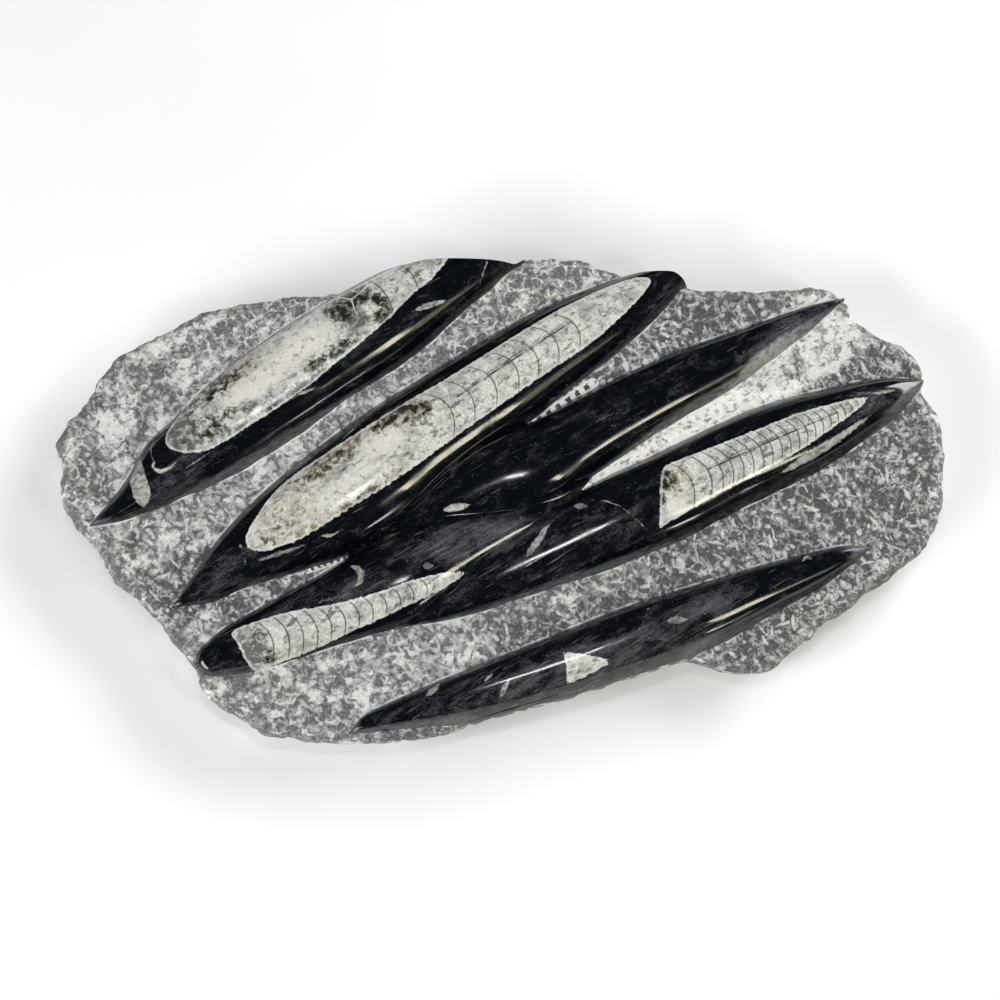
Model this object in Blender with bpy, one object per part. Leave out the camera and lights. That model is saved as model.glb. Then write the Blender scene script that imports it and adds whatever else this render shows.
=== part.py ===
"""A slab of black fossil limestone, carved by hand and polished.

Six long pointed ridges stand up from a rough chiselled field of stone. Each
ridge was ground to a smooth spear shape around a straight-shelled orthoceras,
so shell and stone are one solid: the shells are only a change of colour in
the polished surface. The back is sawn flat, and the slab lies on it.

The slab lies in the XY plane with its long side along X. The origin is the
middle of its footprint, at the height of the sawn back. Lengths are in
millimetres until the mesh is written, which is in metres.
"""

import math

import bpy
import numpy as np
from mathutils import Vector, noise
from mathutils.geometry import delaunay_2d_cdt

MILLIMETRE = 0.001

# Driving dimensions, in millimetres
FIELD_HEIGHT = 19.0       # rough stone above the sawn back
FIELD_SWELL = 0.8         # slow rise and fall of the rough stone
FIELD_LUMPS = 0.35        # chisel work, as coarse as the facets allow
SHOULDER = 4.5            # radius of the worn shoulder along the broken edge
UNDERCUT = 5.5            # how far the broken edge slopes in under the slab
BLEND = 2.5               # how softly two ridges of one group run together

# Spacing of the facets, in millimetres
EDGE_STEP = 5.0
FIELD_STEP = 3.9
RIDGE_STEP = 4.8
CLOSEST = 1.5
SHOULDER_ROWS = (1.8, 3.9)
BACK_STEP = 26.0

BURIED = -60.0            # height given to a ridge where it doesn't exist

# The broken edge of the slab seen from above, from the left end clockwise
OUTLINE = [
    (-162.0, 19.5), (-158.0, 27.5), (-149.5, 36.5), (-147.5, 42.5), (-143.5, 47.5),
    (-143.0, 51.0), (-137.5, 53.5), (-131.0, 58.0), (-128.0, 58.5), (-119.5, 64.0),
    (-107.5, 70.0), (-92.5, 73.5), (-74.0, 75.5), (-57.5, 77.5), (-42.5, 83.5),
    (-26.0, 86.5), (5.5, 86.5), (10.0, 90.5), (29.0, 90.5), (37.5, 87.0),
    (47.5, 83.0), (64.5, 83.0), (69.5, 79.0), (80.0, 78.0), (100.0, 78.0),
    (115.5, 79.5), (123.5, 78.0), (129.0, 72.5), (129.5, 66.5), (141.0, 59.5),
    (148.0, 56.5), (155.0, 49.5), (156.0, 44.0), (154.0, 38.0), (160.5, 30.0),
    (162.0, 14.0), (160.5, -5.0), (156.5, -16.0), (150.0, -24.0), (143.5, -28.5),
    (137.5, -34.5), (131.5, -37.0), (125.0, -43.5), (116.0, -47.5), (110.0, -55.0),
    (103.5, -58.5), (97.5, -65.0), (86.5, -67.0), (74.5, -64.0), (66.0, -61.5),
    (49.5, -67.5), (25.0, -75.5), (-7.0, -84.0), (-24.5, -89.5), (-47.0, -91.5),
    (-62.5, -91.0), (-83.5, -89.0), (-90.0, -83.0), (-96.5, -80.5), (-104.5, -74.0),
    (-108.0, -66.0), (-119.0, -52.0), (-125.0, -44.5), (-129.0, -40.0), (-136.5, -34.5),
    (-143.0, -24.5), (-151.0, -15.5), (-158.0, -5.5), (-160.0, 3.0), (-158.5, 8.0),
]


class Ridge:
    """A polished ridge: a straight chord with a curved foot on either side.

    far and near list the foot as (share of the chord, distance from it).
    """

    crown_square = 0.45   # share of the section that is a plain parabola
    crown_fifth = 0.55    # share that stays flat on top and falls off late
    taper = 0.8           # how the crest comes down as the ridge narrows

    def __init__(self, tail, head, height, far, near):
        self.tail = np.array(tail)
        chord = np.array(head) - self.tail
        self.length = float(np.hypot(*chord))
        self.along = chord / self.length
        self.across = np.array((-self.along[1], self.along[0]))
        self.height = height
        self.far = [(0.0, 0.0)] + far + [(1.0, 0.0)]
        self.near = [(0.0, 0.0)] + near + [(1.0, 0.0)]
        half = self.feet(np.linspace(0.0, 1.0, 101))[1]
        self.widest = float(half.max())

    def feet(self, share):
        """The middle of the section and half its width, at a share of the chord."""
        far = curve_through(self.far, share)
        near = curve_through(self.near, share)
        return (far + near) / 2, np.maximum((far - near) / 2, 0.05)

    def point(self, share, offset):
        """A point in the slab's plane."""
        return self.tail + self.along * (share * self.length) + self.across * offset

    def surface(self, points):
        """Height of the ridge over an array of points."""
        away = points - self.tail
        share = away @ self.along / self.length
        middle, half = self.feet(np.clip(share, 0.0, 1.0))
        side = np.abs((away @ self.across - middle) / half)
        crown = 1.0 - self.crown_square * side ** 2 - self.crown_fifth * side ** 5
        rise = self.height * (half / self.widest) ** self.taper
        height = FIELD_HEIGHT + rise * np.maximum(crown, -6.0)
        return np.where((share > 0.0) & (share < 1.0), height, BURIED)


def curve_through(points, at):
    """A smooth curve through (position, value) pairs."""
    position, value = np.array(points).T
    slope = np.gradient(value, position)
    index = np.clip(np.searchsorted(position, at) - 1, 0, len(position) - 2)
    step = position[index + 1] - position[index]
    u = (at - position[index]) / step
    start = value[index] * (1 + 2 * u) * (1 - u) ** 2 + slope[index] * step * u * (1 - u) ** 2
    end = value[index + 1] * u * u * (3 - 2 * u) + slope[index + 1] * step * u * u * (u - 1)
    return start + end


BACK_LEFT = Ridge(
    (-147.5, -13.5), (22.5, 107.0), 11.0,
    far=[(0.10, 7.0), (0.165, 14.0), (0.23, 16.5), (0.32, 20.5), (0.44, 22.5), (0.60, 21.5),
         (0.72, 19.0), (0.81, 14.5), (0.90, 8.5)],
    near=[(0.04, -4.0), (0.095, -7.5), (0.165, -10.5), (0.235, -13.0), (0.37, -14.5),
          (0.50, -14.5), (0.62, -14.0), (0.75, -11.0), (0.90, -6.0)])

LONG = Ridge(
    (-116.5, -43.5), (79.0, 93.0), 11.5,
    far=[(0.05, 5.5), (0.11, 11.5), (0.165, 15.0), (0.225, 17.8), (0.28, 19.2), (0.43, 21.0),
         (0.51, 20.5), (0.60, 19.8), (0.67, 19.0), (0.74, 17.0), (0.82, 13.0), (0.89, 8.2)],
    near=[(0.05, -5.9), (0.11, -8.8), (0.165, -13.0), (0.22, -17.2), (0.28, -20.8),
          (0.33, -21.2), (0.38, -20.5), (0.45, -18.3), (0.52, -17.2), (0.60, -16.6),
          (0.67, -14.8), (0.76, -13.1), (0.84, -10.6), (0.925, -5.5)])

MIDDLE = Ridge(
    (-49.0, -23.0), (128.0, 74.5), 9.5,
    far=[(0.04, 2.5), (0.115, 7.0), (0.165, 10.0), (0.22, 13.4), (0.27, 14.8), (0.32, 14.8),
         (0.38, 13.7), (0.48, 13.8), (0.58, 13.2), (0.65, 12.3), (0.71, 10.8), (0.80, 7.8),
         (0.92, 4.0)],
    near=[(0.07, -3.0), (0.13, -6.5), (0.18, -9.5), (0.25, -14.0), (0.30, -16.8),
          (0.36, -17.8), (0.42, -15.2), (0.50, -13.3), (0.66, -11.6), (0.75, -10.0),
          (0.84, -7.6), (0.92, -4.3)])

FRONT_RIGHT = Ridge(
    (-38.0, -51.5), (155.5, 42.0), 10.5,
    far=[(0.07, 2.2), (0.125, 6.2), (0.18, 10.3), (0.24, 12.5), (0.29, 14.2), (0.34, 16.0),
         (0.41, 17.4), (0.50, 17.5), (0.64, 18.0), (0.71, 17.6), (0.77, 16.0), (0.82, 13.8), (0.88, 11.0),
         (0.94, 7.0)],
    near=[(0.10, -5.8), (0.19, -9.2), (0.27, -11.4), (0.34, -13.2), (0.42, -14.2),
          (0.53, -15.2), (0.61, -14.2), (0.72, -14.0), (0.785, -13.2), (0.87, -10.2),
          (0.955, -5.4)])

FRONT_LEFT = Ridge(
    (-107.5, -64.5), (33.5, 5.0), 9.5,
    far=[(0.015, 3.3), (0.05, 6.1), (0.085, 7.7), (0.15, 8.8), (0.22, 9.6), (0.30, 10.2),
         (0.38, 11.2), (0.45, 12.8), (0.53, 14.0), (0.61, 12.5), (0.67, 10.5), (0.77, 5.8),
         (0.84, 2.8), (0.92, 0.6)],
    near=[(0.01, -3.6), (0.05, -7.4), (0.10, -10.4), (0.18, -13.2), (0.27, -15.0),
          (0.36, -17.2), (0.44, -19.3), (0.50, -20.0), (0.56, -18.4), (0.60, -17.0),
          (0.68, -13.8), (0.76, -11.4), (0.83, -9.6), (0.90, -6.6), (0.95, -4.0)])

FOREMOST = Ridge(
    (-53.0, -89.0), (133.5, -21.0), 10.5,
    far=[(0.03, 4.0), (0.085, 5.8), (0.14, 6.7), (0.27, 8.0), (0.40, 9.0), (0.57, 9.7),
         (0.68, 8.7), (0.80, 7.5), (0.87, 6.1), (0.965, 3.0)],
    near=[(0.09, -4.5), (0.175, -8.6), (0.28, -12.0), (0.39, -14.0), (0.52, -15.0),
          (0.61, -14.9), (0.67, -14.4), (0.74, -12.4), (0.82, -9.7), (0.90, -6.8),
          (0.96, -3.2)])

# Ridges of one group run softly together; different groups meet in a sharp valley
GROUPS = [[BACK_LEFT], [LONG], [MIDDLE, FRONT_LEFT], [FRONT_RIGHT], [FOREMOST]]


def swell(points, size, seed):
    """Smooth noise between about -1 and 1, with lumps of the given size."""
    values = [noise.noise(Vector((x / size, y / size, seed))) for x, y in points]
    return 2.0 * np.array(values)


def walk_round(corners, step):
    """The closed outline through the corners, cut into short straight runs."""
    walked = []
    for start, end in zip(corners, np.roll(corners, -1, axis=0)):
        runs = max(1, round(float(np.hypot(*(end - start))) / step))
        for run in range(runs):
            walked.append(start + (end - start) * run / runs)
    return np.array(walked)


def distance_to_edge(points, edge):
    """Shortest distance from each point to the closed outline."""
    nearest = np.full(len(points), np.inf)
    for start, end in zip(edge, np.roll(edge, -1, axis=0)):
        run = end - start
        share = np.clip((points - start) @ run / (run @ run), 0.0, 1.0)
        gap = points - start - share[:, None] * run
        nearest = np.minimum(nearest, np.hypot(gap[:, 0], gap[:, 1]))
    return nearest


def field_surface(points, edge):
    """The rough stone between the ridges, rounded off along the broken edge."""
    inward = np.clip(1.0 - distance_to_edge(points, edge) / SHOULDER, 0.0, 1.0)
    drop = SHOULDER * (1.0 - np.sqrt(1.0 - inward ** 2))
    height = FIELD_HEIGHT - drop
    height += FIELD_SWELL * swell(points, 38.0, 3.1)
    return height + FIELD_LUMPS * swell(points, 7.0, 8.4)


def group_surface(group, points):
    """Height of the ridges of one group, softly run together."""
    height = group[0].surface(points)
    for ridge in group[1:]:
        other = ridge.surface(points)
        near = np.maximum(BLEND - np.abs(height - other), 0.0) / BLEND
        height = np.maximum(height, other) + near ** 2 * BLEND / 4
    return height


def top_surface(points, edge, leave_out=None):
    """Height of the carved face over an array of points."""
    height = field_surface(points, edge)
    for group in GROUPS:
        if group is not leave_out:
            height = np.maximum(height, group_surface(group, points))
    return height


def foot_offset(group, ridge, share, edge, side):
    """Where a ridge meets the stone or another ridge, going out from its crest."""
    middle, half = ridge.feet(np.array([share]))
    offsets = middle[0] + side * half[0] * np.linspace(0.0, 1.5, 61)
    line = np.array([ridge.point(share, offset) for offset in offsets])
    clear = group_surface(group, line) - top_surface(line, edge, leave_out=group)
    if clear[0] <= 0.0 or clear.min() > 0.0:
        return None
    under = int(np.argmax(clear <= 0.0))
    back = clear[under] / (clear[under] - clear[under - 1])
    return offsets[under] + (offsets[under - 1] - offsets[under]) * back


class Plan:
    """Points and creases of the carved face, seen from above."""

    def __init__(self, edge):
        self.points = [tuple(point) for point in edge]
        self.creases = []

    def add(self, point):
        """Index of a point, or of the one already standing close by."""
        gaps = np.hypot(*(np.array(self.points) - point).T)
        nearest = int(np.argmin(gaps))
        if gaps[nearest] < CLOSEST:
            return nearest
        self.points.append(tuple(point))
        return len(self.points) - 1

    def add_crease(self, line):
        """A run of points whose links stay as edges of the facets."""
        indices = [self.add(point) for point in line]
        for first, second in zip(indices, indices[1:]):
            if first != second:
                self.creases.append((first, second))


def inside(points, edge):
    """Which points lie inside the closed outline."""
    crossings = np.zeros(len(points), dtype=int)
    x, y = points[:, 0], points[:, 1]
    for (x0, y0), (x1, y1) in zip(edge, np.roll(edge, -1, axis=0)):
        spans = (y0 > y) != (y1 > y)
        if y0 != y1:
            crossings += spans & (x < x0 + (y - y0) * (x1 - x0) / (y1 - y0))
    return crossings % 2 == 1


def well_inside(points, edge, margin):
    """The points that stand clear of the broken edge."""
    points = np.array(points)
    keep = inside(points, edge) & (distance_to_edge(points, edge) > margin)
    return points[keep]


def plan_ridge(plan, group, ridge, edge):
    """Creases along the feet of a ridge, and rows of points up over its crest."""
    stations = np.linspace(0.0, 1.0, round(ridge.length / RIDGE_STEP) + 1)[1:-1]
    for side in (-1.0, 1.0):
        run = []
        for share in stations:
            offset = foot_offset(group, ridge, share, edge, side)
            if offset is not None and inside(np.array([ridge.point(share, offset)]), edge)[0]:
                run.append(ridge.point(share, offset))
            else:
                plan.add_crease(run)
                run = []
        plan.add_crease(run)
    rows = []
    for share in stations:
        middle, half = ridge.feet(np.array([share]))
        for across in (0.0, -0.45, 0.45, -0.75, 0.75, -0.92, 0.92):
            rows.append(ridge.point(share, middle[0] + across * half[0]))
    rows = well_inside(rows, edge, CLOSEST)
    own = group_surface(group, rows) > top_surface(rows, edge, leave_out=group)
    for point in rows[own]:
        plan.add(point)


def field_grid(edge, step):
    """A staggered grid of points over the slab's footprint."""
    low, high = edge.min(axis=0), edge.max(axis=0)
    rows = np.arange(low[1], high[1], step * math.sqrt(3) / 2)
    grid = []
    for count, y in enumerate(rows):
        shift = step / 2 * (count % 2)
        grid += [(x + shift, y) for x in np.arange(low[0], high[0], step)]
    return well_inside(grid, edge, step / 2)


def plan_field(plan, edge):
    """Points over the rough stone, left out where a ridge covers it."""
    shoulder = [edge + inward_directions(edge) * inset for inset in SHOULDER_ROWS]
    grid = well_inside(np.vstack(shoulder), edge, CLOSEST)
    grid = np.vstack((grid, field_grid(edge, FIELD_STEP)))
    bare = field_surface(grid, edge)
    for group in GROUPS:
        grid_heights = group_surface(group, grid)
        keep = grid_heights < bare
        grid, bare = grid[keep], bare[keep]
    for point in grid:
        plan.add(point)


def smooth_ring(values, passes):
    """Average the values round a closed ring."""
    for _ in range(passes):
        values = (np.roll(values, 1, axis=0) + 2 * values + np.roll(values, -1, axis=0)) / 4
    return values


def inward_directions(edge):
    """Unit vectors pointing into the slab, evened out along the edge."""
    run = np.roll(edge, -1, axis=0) - np.roll(edge, 1, axis=0)
    inward = smooth_ring(np.stack((run[:, 1], -run[:, 0]), axis=1), 10)
    return inward / np.hypot(inward[:, 0], inward[:, 1])[:, None]


def triangles_over(points, edges, ring_length):
    """Triangles that fill the first ring of points and keep the given edges."""
    flat = [Vector(point) for point in points]
    loop = [list(range(ring_length))]
    result = delaunay_2d_cdt(flat, edges, loop, 1, 1e-5)
    return np.array([tuple(point) for point in result[0]]), [tuple(f) for f in result[2]]


def build_slab():
    """Carved face, broken edge and sawn back as one closed mesh."""
    edge = walk_round(np.array(OUTLINE), EDGE_STEP)
    plan = Plan(edge)
    for group in GROUPS:
        for ridge in group:
            plan_ridge(plan, group, ridge, edge)
    plan_field(plan, edge)
    flat, faces = triangles_over(plan.points, plan.creases, len(edge))
    heights = top_surface(flat, edge)
    vertices = np.column_stack((flat, heights))
    faces = [upward(vertices, face) for face in faces]

    inward = inward_directions(edge)
    uneven = swell(edge, 11.0, 5.5)[:, None]
    ring = np.arange(len(edge))
    rim = heights[:len(edge)]
    for depth, inset in ((0.30, 0.5), (0.62, 2.0), (0.93, UNDERCUT - 0.8), (1.0, UNDERCUT)):
        spot = edge + inward * (inset + 0.6 * uneven * math.sin(math.pi * depth))
        level = rim * (1.0 - depth)
        start = len(vertices)
        vertices = np.vstack((vertices, np.column_stack((spot, level))))
        below = np.arange(start, start + len(edge))
        faces += band(ring, below)
        ring = below

    back = [tuple(vertices[index][:2]) for index in ring]
    inner = field_grid(vertices[ring][:, :2], BACK_STEP)
    flat, back_faces = triangles_over(back + [tuple(point) for point in inner], [], len(back))
    start = len(vertices) - len(back)
    extra = flat[len(back):]
    vertices = np.vstack((vertices, np.column_stack((extra, np.zeros(len(extra))))))
    for face in back_faces:
        face = upward(vertices, tuple(start + index for index in face))
        faces.append(tuple(reversed(face)))
    return vertices, faces


def upward(vertices, face):
    """The face turned so that it is seen from above."""
    a, b, c = (vertices[index] for index in face)
    turn = (b[0] - a[0]) * (c[1] - a[1]) - (b[1] - a[1]) * (c[0] - a[0])
    return face if turn > 0 else tuple(reversed(face))


def band(upper, lower):
    """Triangles between two rings that run clockwise, seen from above."""
    faces = []
    for index in range(len(upper)):
        after = (index + 1) % len(upper)
        faces.append((upper[index], upper[after], lower[index]))
        faces.append((upper[after], lower[after], lower[index]))
    return faces


def limestone():
    """Black limestone, between its chiselled grey and its polished black."""
    material = bpy.data.materials.new("black fossil limestone")
    material.use_nodes = True
    shader = material.node_tree.nodes["Principled BSDF"]
    shader.inputs["Base Color"].default_value = (0.16, 0.16, 0.17, 1.0)
    shader.inputs["Roughness"].default_value = 0.45
    shader.inputs["Metallic"].default_value = 0.0
    return material


def main():
    for old in list(bpy.data.objects):
        bpy.data.objects.remove(old)
    vertices, faces = build_slab()
    middle = (vertices.min(axis=0) + vertices.max(axis=0)) / 2
    vertices = (vertices - (middle[0], middle[1], 0.0)) * MILLIMETRE
    mesh = bpy.data.meshes.new("fossil_slab")
    mesh.from_pydata(vertices.tolist(), [], [tuple(map(int, face)) for face in faces])
    mesh.materials.append(limestone())
    mesh.shade_smooth()
    mesh.set_sharp_from_angle(angle=math.radians(35))
    slab = bpy.data.objects.new("fossil_slab", mesh)
    bpy.context.scene.collection.objects.link(slab)


main()
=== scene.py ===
"""Slab of black fossil limestone: its fine surface, its finishes and the stage.

The slab is one stone, so one piece stands for it: a dense mesh on the same outline and ridges as
the solid, with the chisel work of the field, the broken edge and the sawn back. The shells are a
change of colour in the polished ridges. Where they lie is worked out point by point and kept on
the mesh as named attributes, which the materials read.

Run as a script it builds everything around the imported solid. Its operators are in the sidebar.
"""

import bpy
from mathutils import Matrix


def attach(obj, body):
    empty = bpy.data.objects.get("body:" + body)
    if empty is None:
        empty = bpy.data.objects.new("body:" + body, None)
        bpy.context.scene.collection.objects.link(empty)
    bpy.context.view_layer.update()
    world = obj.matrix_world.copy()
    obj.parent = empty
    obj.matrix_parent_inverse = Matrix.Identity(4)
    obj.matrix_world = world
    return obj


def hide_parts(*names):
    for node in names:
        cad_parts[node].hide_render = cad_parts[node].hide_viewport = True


bl_info = {
    "name": "Orthoceras Slab",
    "version": (1, 0, 0),
    "blender": (4, 5, 0),
    "location": "3D View > Sidebar > Fossil",
    "description": "Carved, polished and chiselled surface of an orthoceras slab",
    "category": "Add Mesh",
}

import math
from types import SimpleNamespace

import bpy
import numpy as np
from bpy.props import FloatProperty, FloatVectorProperty, IntProperty, PointerProperty
from mathutils import Vector, kdtree, noise
from mathutils.geometry import delaunay_2d_cdt

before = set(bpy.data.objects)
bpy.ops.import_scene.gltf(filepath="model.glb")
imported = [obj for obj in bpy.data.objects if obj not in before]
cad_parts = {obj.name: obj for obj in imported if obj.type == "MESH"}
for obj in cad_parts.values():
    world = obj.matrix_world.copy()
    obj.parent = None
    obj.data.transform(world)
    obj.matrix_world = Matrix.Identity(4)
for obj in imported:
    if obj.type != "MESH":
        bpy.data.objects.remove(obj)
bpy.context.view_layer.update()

SOLID = "fossil_slab"
MILLIMETRE = 0.001
BURIED = -60.0        # height given to a ridge where it doesn't exist
FAR_AWAY = -20.0      # signed distance given where no mark is near
WALL_ROWS = 12        # rings of points down the broken edge
WALL_STRIPS = 5       # strips that the broken edge is laid out in

# ---------------------------------------------------------------------------------------------
# The slab in plan, in millimetres. The outline starts at the left end and runs clockwise.

OUTLINE = [
    (-162, 19.5), (-158, 27.5), (-149.5, 36.5), (-147.5, 42.5), (-143.5, 47.5), (-143, 51),
    (-137.5, 53.5), (-131, 58), (-128, 58.5), (-119.5, 64), (-107.5, 70), (-92.5, 73.5), (-74, 75.5),
    (-57.5, 77.5), (-42.5, 83.5), (-26, 86.5), (5.5, 86.5), (10, 90.5), (29, 90.5), (37.5, 87),
    (47.5, 83), (64.5, 83), (69.5, 79), (80, 78), (100, 78), (115.5, 79.5), (123.5, 78), (129, 72.5),
    (129.5, 66.5), (141, 59.5), (148, 56.5), (155, 49.5), (156, 44), (154, 38), (160.5, 30), (162, 14),
    (160.5, -5), (156.5, -16), (150, -24), (143.5, -28.5), (137.5, -34.5), (131.5, -37), (125, -43.5),
    (116, -47.5), (110, -55), (103.5, -58.5), (97.5, -65), (86.5, -67), (74.5, -64), (66, -61.5),
    (49.5, -67.5), (25, -75.5), (-7, -84), (-24.5, -89.5), (-47, -91.5), (-62.5, -91), (-83.5, -89),
    (-90, -83), (-96.5, -80.5), (-104.5, -74), (-108, -66), (-119, -52), (-125, -44.5), (-129, -40),
    (-136.5, -34.5), (-143, -24.5), (-151, -15.5), (-158, -5.5), (-160, 3), (-158.5, 8),
]


def walk_line(points, step):
    """A line through the points in short even runs."""
    points = np.array(points)
    walked = [points[0]]
    for start, end in zip(points, points[1:]):
        runs = max(1, round(float(np.hypot(*(end - start))) / step))
        walked += [start + (end - start) * run / runs for run in range(1, runs + 1)]
    return np.array(walked)


def curve_through(points, at):
    """A smooth curve through (position, value) pairs."""
    position, value = np.array(points).T
    slope = np.gradient(value, position)
    index = np.clip(np.searchsorted(position, at) - 1, 0, len(position) - 2)
    step = position[index + 1] - position[index]
    u = (at - position[index]) / step
    start = value[index] * (1 + 2 * u) * (1 - u) ** 2 + slope[index] * step * u * (1 - u) ** 2
    end = value[index + 1] * u * u * (3 - 2 * u) + slope[index + 1] * step * u * u * (u - 1)
    return start + end


class Ridge:
    """A polished ridge: a straight chord with a curved foot on either side.

    far and near list the foot as (share of the chord, distance from it).
    """

    crown_square = 0.45   # share of the section that is a plain parabola
    crown_fifth = 0.55    # share that stays flat on top and falls off late
    taper = 0.8           # how the crest comes down as the ridge narrows
    lowest_crown = -400   # keeps the section within bounds beside the ridge

    def __init__(self, tail, head, height, far, near):
        self.tail = np.array(tail)
        chord = np.array(head) - self.tail
        self.length = float(np.hypot(*chord))
        self.along = chord / self.length
        self.across = np.array((-self.along[1], self.along[0]))
        self.height = height
        self.far = [(0, 0), *far, (1, 0)]
        self.near = [(0, 0), *near, (1, 0)]
        self.widest = float(self.feet(np.linspace(0, 1, 101))[1].max())

    def feet(self, share):
        """The middle of the section and half its width, at a share of the chord."""
        far = curve_through(self.far, share)
        near = curve_through(self.near, share)
        return (far + near) / 2, np.maximum((far - near) / 2, 0.05)

    def points(self, share, offset):
        """Points in the slab's plane, for arrays of shares and offsets."""
        run = np.multiply.outer(share * self.length, self.along)
        return self.tail + run + np.multiply.outer(offset, self.across)

    def surface(self, points, level):
        """Height of the ridge over an array of points, on a field of the given level."""
        away = points - self.tail
        share = away @ self.along / self.length
        middle, half = self.feet(np.clip(share, 0.0, 1.0))
        side = np.abs((away @ self.across - middle) / half)
        crown = 1.0 - self.crown_square * side ** 2 - self.crown_fifth * side ** 5
        rise = self.height * (half / self.widest) ** self.taper
        height = level + rise * np.maximum(crown, self.lowest_crown)
        return np.where((share > 0.0) & (share < 1.0), height, BURIED)


BACK_LEFT = Ridge(
    (-147.5, -13.5), (22.5, 107), 11,
    far=[(0.1, 7), (0.165, 14), (0.23, 16.5), (0.32, 20.5), (0.44, 22.5), (0.6, 21.5), (0.72, 19),
         (0.81, 14.5), (0.9, 8.5)],
    near=[(0.04, -4), (0.095, -7.5), (0.165, -10.5), (0.235, -13), (0.37, -14.5), (0.5, -14.5),
          (0.62, -14), (0.75, -11), (0.9, -6)])

LONG = Ridge(
    (-116.5, -43.5), (79, 93), 11.5,
    far=[(0.05, 5.5), (0.11, 11.5), (0.165, 15), (0.225, 17.8), (0.28, 19.2), (0.43, 21), (0.51, 20.5),
         (0.6, 19.8), (0.67, 19), (0.74, 17), (0.82, 13), (0.89, 8.2)],
    near=[(0.05, -5.9), (0.11, -8.8), (0.165, -13), (0.22, -17.2), (0.28, -20.8), (0.33, -21.2),
          (0.38, -20.5), (0.45, -18.3), (0.52, -17.2), (0.6, -16.6), (0.67, -14.8), (0.76, -13.1),
          (0.84, -10.6), (0.925, -5.5)])

MIDDLE = Ridge(
    (-49, -23), (128, 74.5), 9.5,
    far=[(0.04, 2.5), (0.115, 7), (0.165, 10), (0.22, 13.4), (0.27, 14.8), (0.32, 14.8), (0.38, 13.7),
         (0.48, 13.8), (0.58, 13.2), (0.65, 12.3), (0.71, 10.8), (0.8, 7.8), (0.92, 4)],
    near=[(0.07, -3), (0.13, -6.5), (0.18, -9.5), (0.25, -14), (0.3, -16.8), (0.36, -17.8), (0.42, -15.2),
          (0.5, -13.3), (0.66, -11.6), (0.75, -10), (0.84, -7.6), (0.92, -4.3)])

FRONT_RIGHT = Ridge(
    (-38, -51.5), (155.5, 42), 10.5,
    far=[(0.07, 2.2), (0.125, 6.2), (0.18, 10.3), (0.24, 12.5), (0.29, 14.2), (0.34, 16), (0.41, 17.4),
         (0.5, 17.5), (0.64, 18), (0.71, 17.6), (0.77, 16), (0.82, 13.8), (0.88, 11), (0.94, 7)],
    near=[(0.1, -5.8), (0.19, -9.2), (0.27, -11.4), (0.34, -13.2), (0.42, -14.2), (0.53, -15.2),
          (0.61, -14.2), (0.72, -14), (0.785, -13.2), (0.87, -10.2), (0.955, -5.4)])

FRONT_LEFT = Ridge(
    (-107.5, -64.5), (33.5, 5), 9.5,
    far=[(0.015, 3.3), (0.05, 6.1), (0.085, 7.7), (0.15, 8.8), (0.22, 9.6), (0.3, 10.2), (0.38, 11.2),
         (0.45, 12.8), (0.53, 14), (0.61, 12.5), (0.67, 10.5), (0.77, 5.8), (0.84, 2.8), (0.92, 0.6)],
    near=[(0.01, -3.6), (0.05, -7.4), (0.1, -10.4), (0.18, -13.2), (0.27, -15), (0.36, -17.2),
          (0.44, -19.3), (0.5, -20), (0.56, -18.4), (0.6, -17), (0.68, -13.8), (0.76, -11.4),
          (0.83, -9.6), (0.9, -6.6), (0.95, -4)])

FOREMOST = Ridge(
    (-53, -89), (133.5, -21), 10.5,
    far=[(0.03, 4), (0.085, 5.8), (0.14, 6.7), (0.27, 8), (0.4, 9), (0.57, 9.7), (0.68, 8.7), (0.8, 7.5),
         (0.87, 6.1), (0.965, 3)],
    near=[(0.09, -4.5), (0.175, -8.6), (0.28, -12), (0.39, -14), (0.52, -15), (0.61, -14.9),
          (0.67, -14.4), (0.74, -12.4), (0.82, -9.7), (0.9, -6.8), (0.96, -3.2)])

# Ridges of one group run softly together; different groups meet in a sharp valley
GROUPS = [[BACK_LEFT], [LONG], [MIDDLE, FRONT_LEFT], [FRONT_RIGHT], [FOREMOST]]


class Shell:
    """An orthoceras in a ridge: a long cone from its open mouth to its tip.

    far and near list its two sides as (distance from the mouth, distance from the axis). septa
    are the walls between its chambers, where they cross the axis. tube is the stretch over which
    the siphuncle shows, with its distance from the axis at both ends.
    """

    def __init__(self, mouth, angle, far, near, septa=(), bulge=0.0, tube=None, teeth=None):
        self.mouth = np.array(mouth)
        self.along = np.array((math.cos(math.radians(angle)), math.sin(math.radians(angle))))
        self.across = np.array((-self.along[1], self.along[0]))
        self.far = far
        self.near = near
        self.septa = septa
        self.bulge = bulge
        self.tube = tube
        self.teeth = teeth

    def place(self, points):
        """Distance along the axis and to its far side."""
        away = points - self.mouth
        return away @ self.along, away @ self.across

    def sides(self, run):
        """The two sides at a distance along the axis."""
        return [np.interp(run, *np.array(sorted(side)).T) for side in (self.far, self.near)]

    def outline(self):
        """The closed outline in the slab's plane, rounded at its corners."""
        loop = np.array(self.far + self.near[-2:0:-1])
        for _ in range(4):
            after = np.roll(loop, -1, axis=0)
            loop = np.stack((0.75 * loop + 0.25 * after, 0.25 * loop + 0.75 * after), axis=1)
            loop = loop.reshape(-1, 2)
        run, offset = walk_line(np.vstack((loop, loop[:1])), 0.5)[:-1].T
        if self.teeth:
            start, end, pitch, depth = self.teeth
            toothed = (run > start) & (run < end) & (offset < 0.0)
            offset = offset - toothed * depth * np.abs(np.sin(run * math.pi / pitch))
        return self.mouth + np.outer(run, self.along) + np.outer(offset, self.across)


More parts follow.
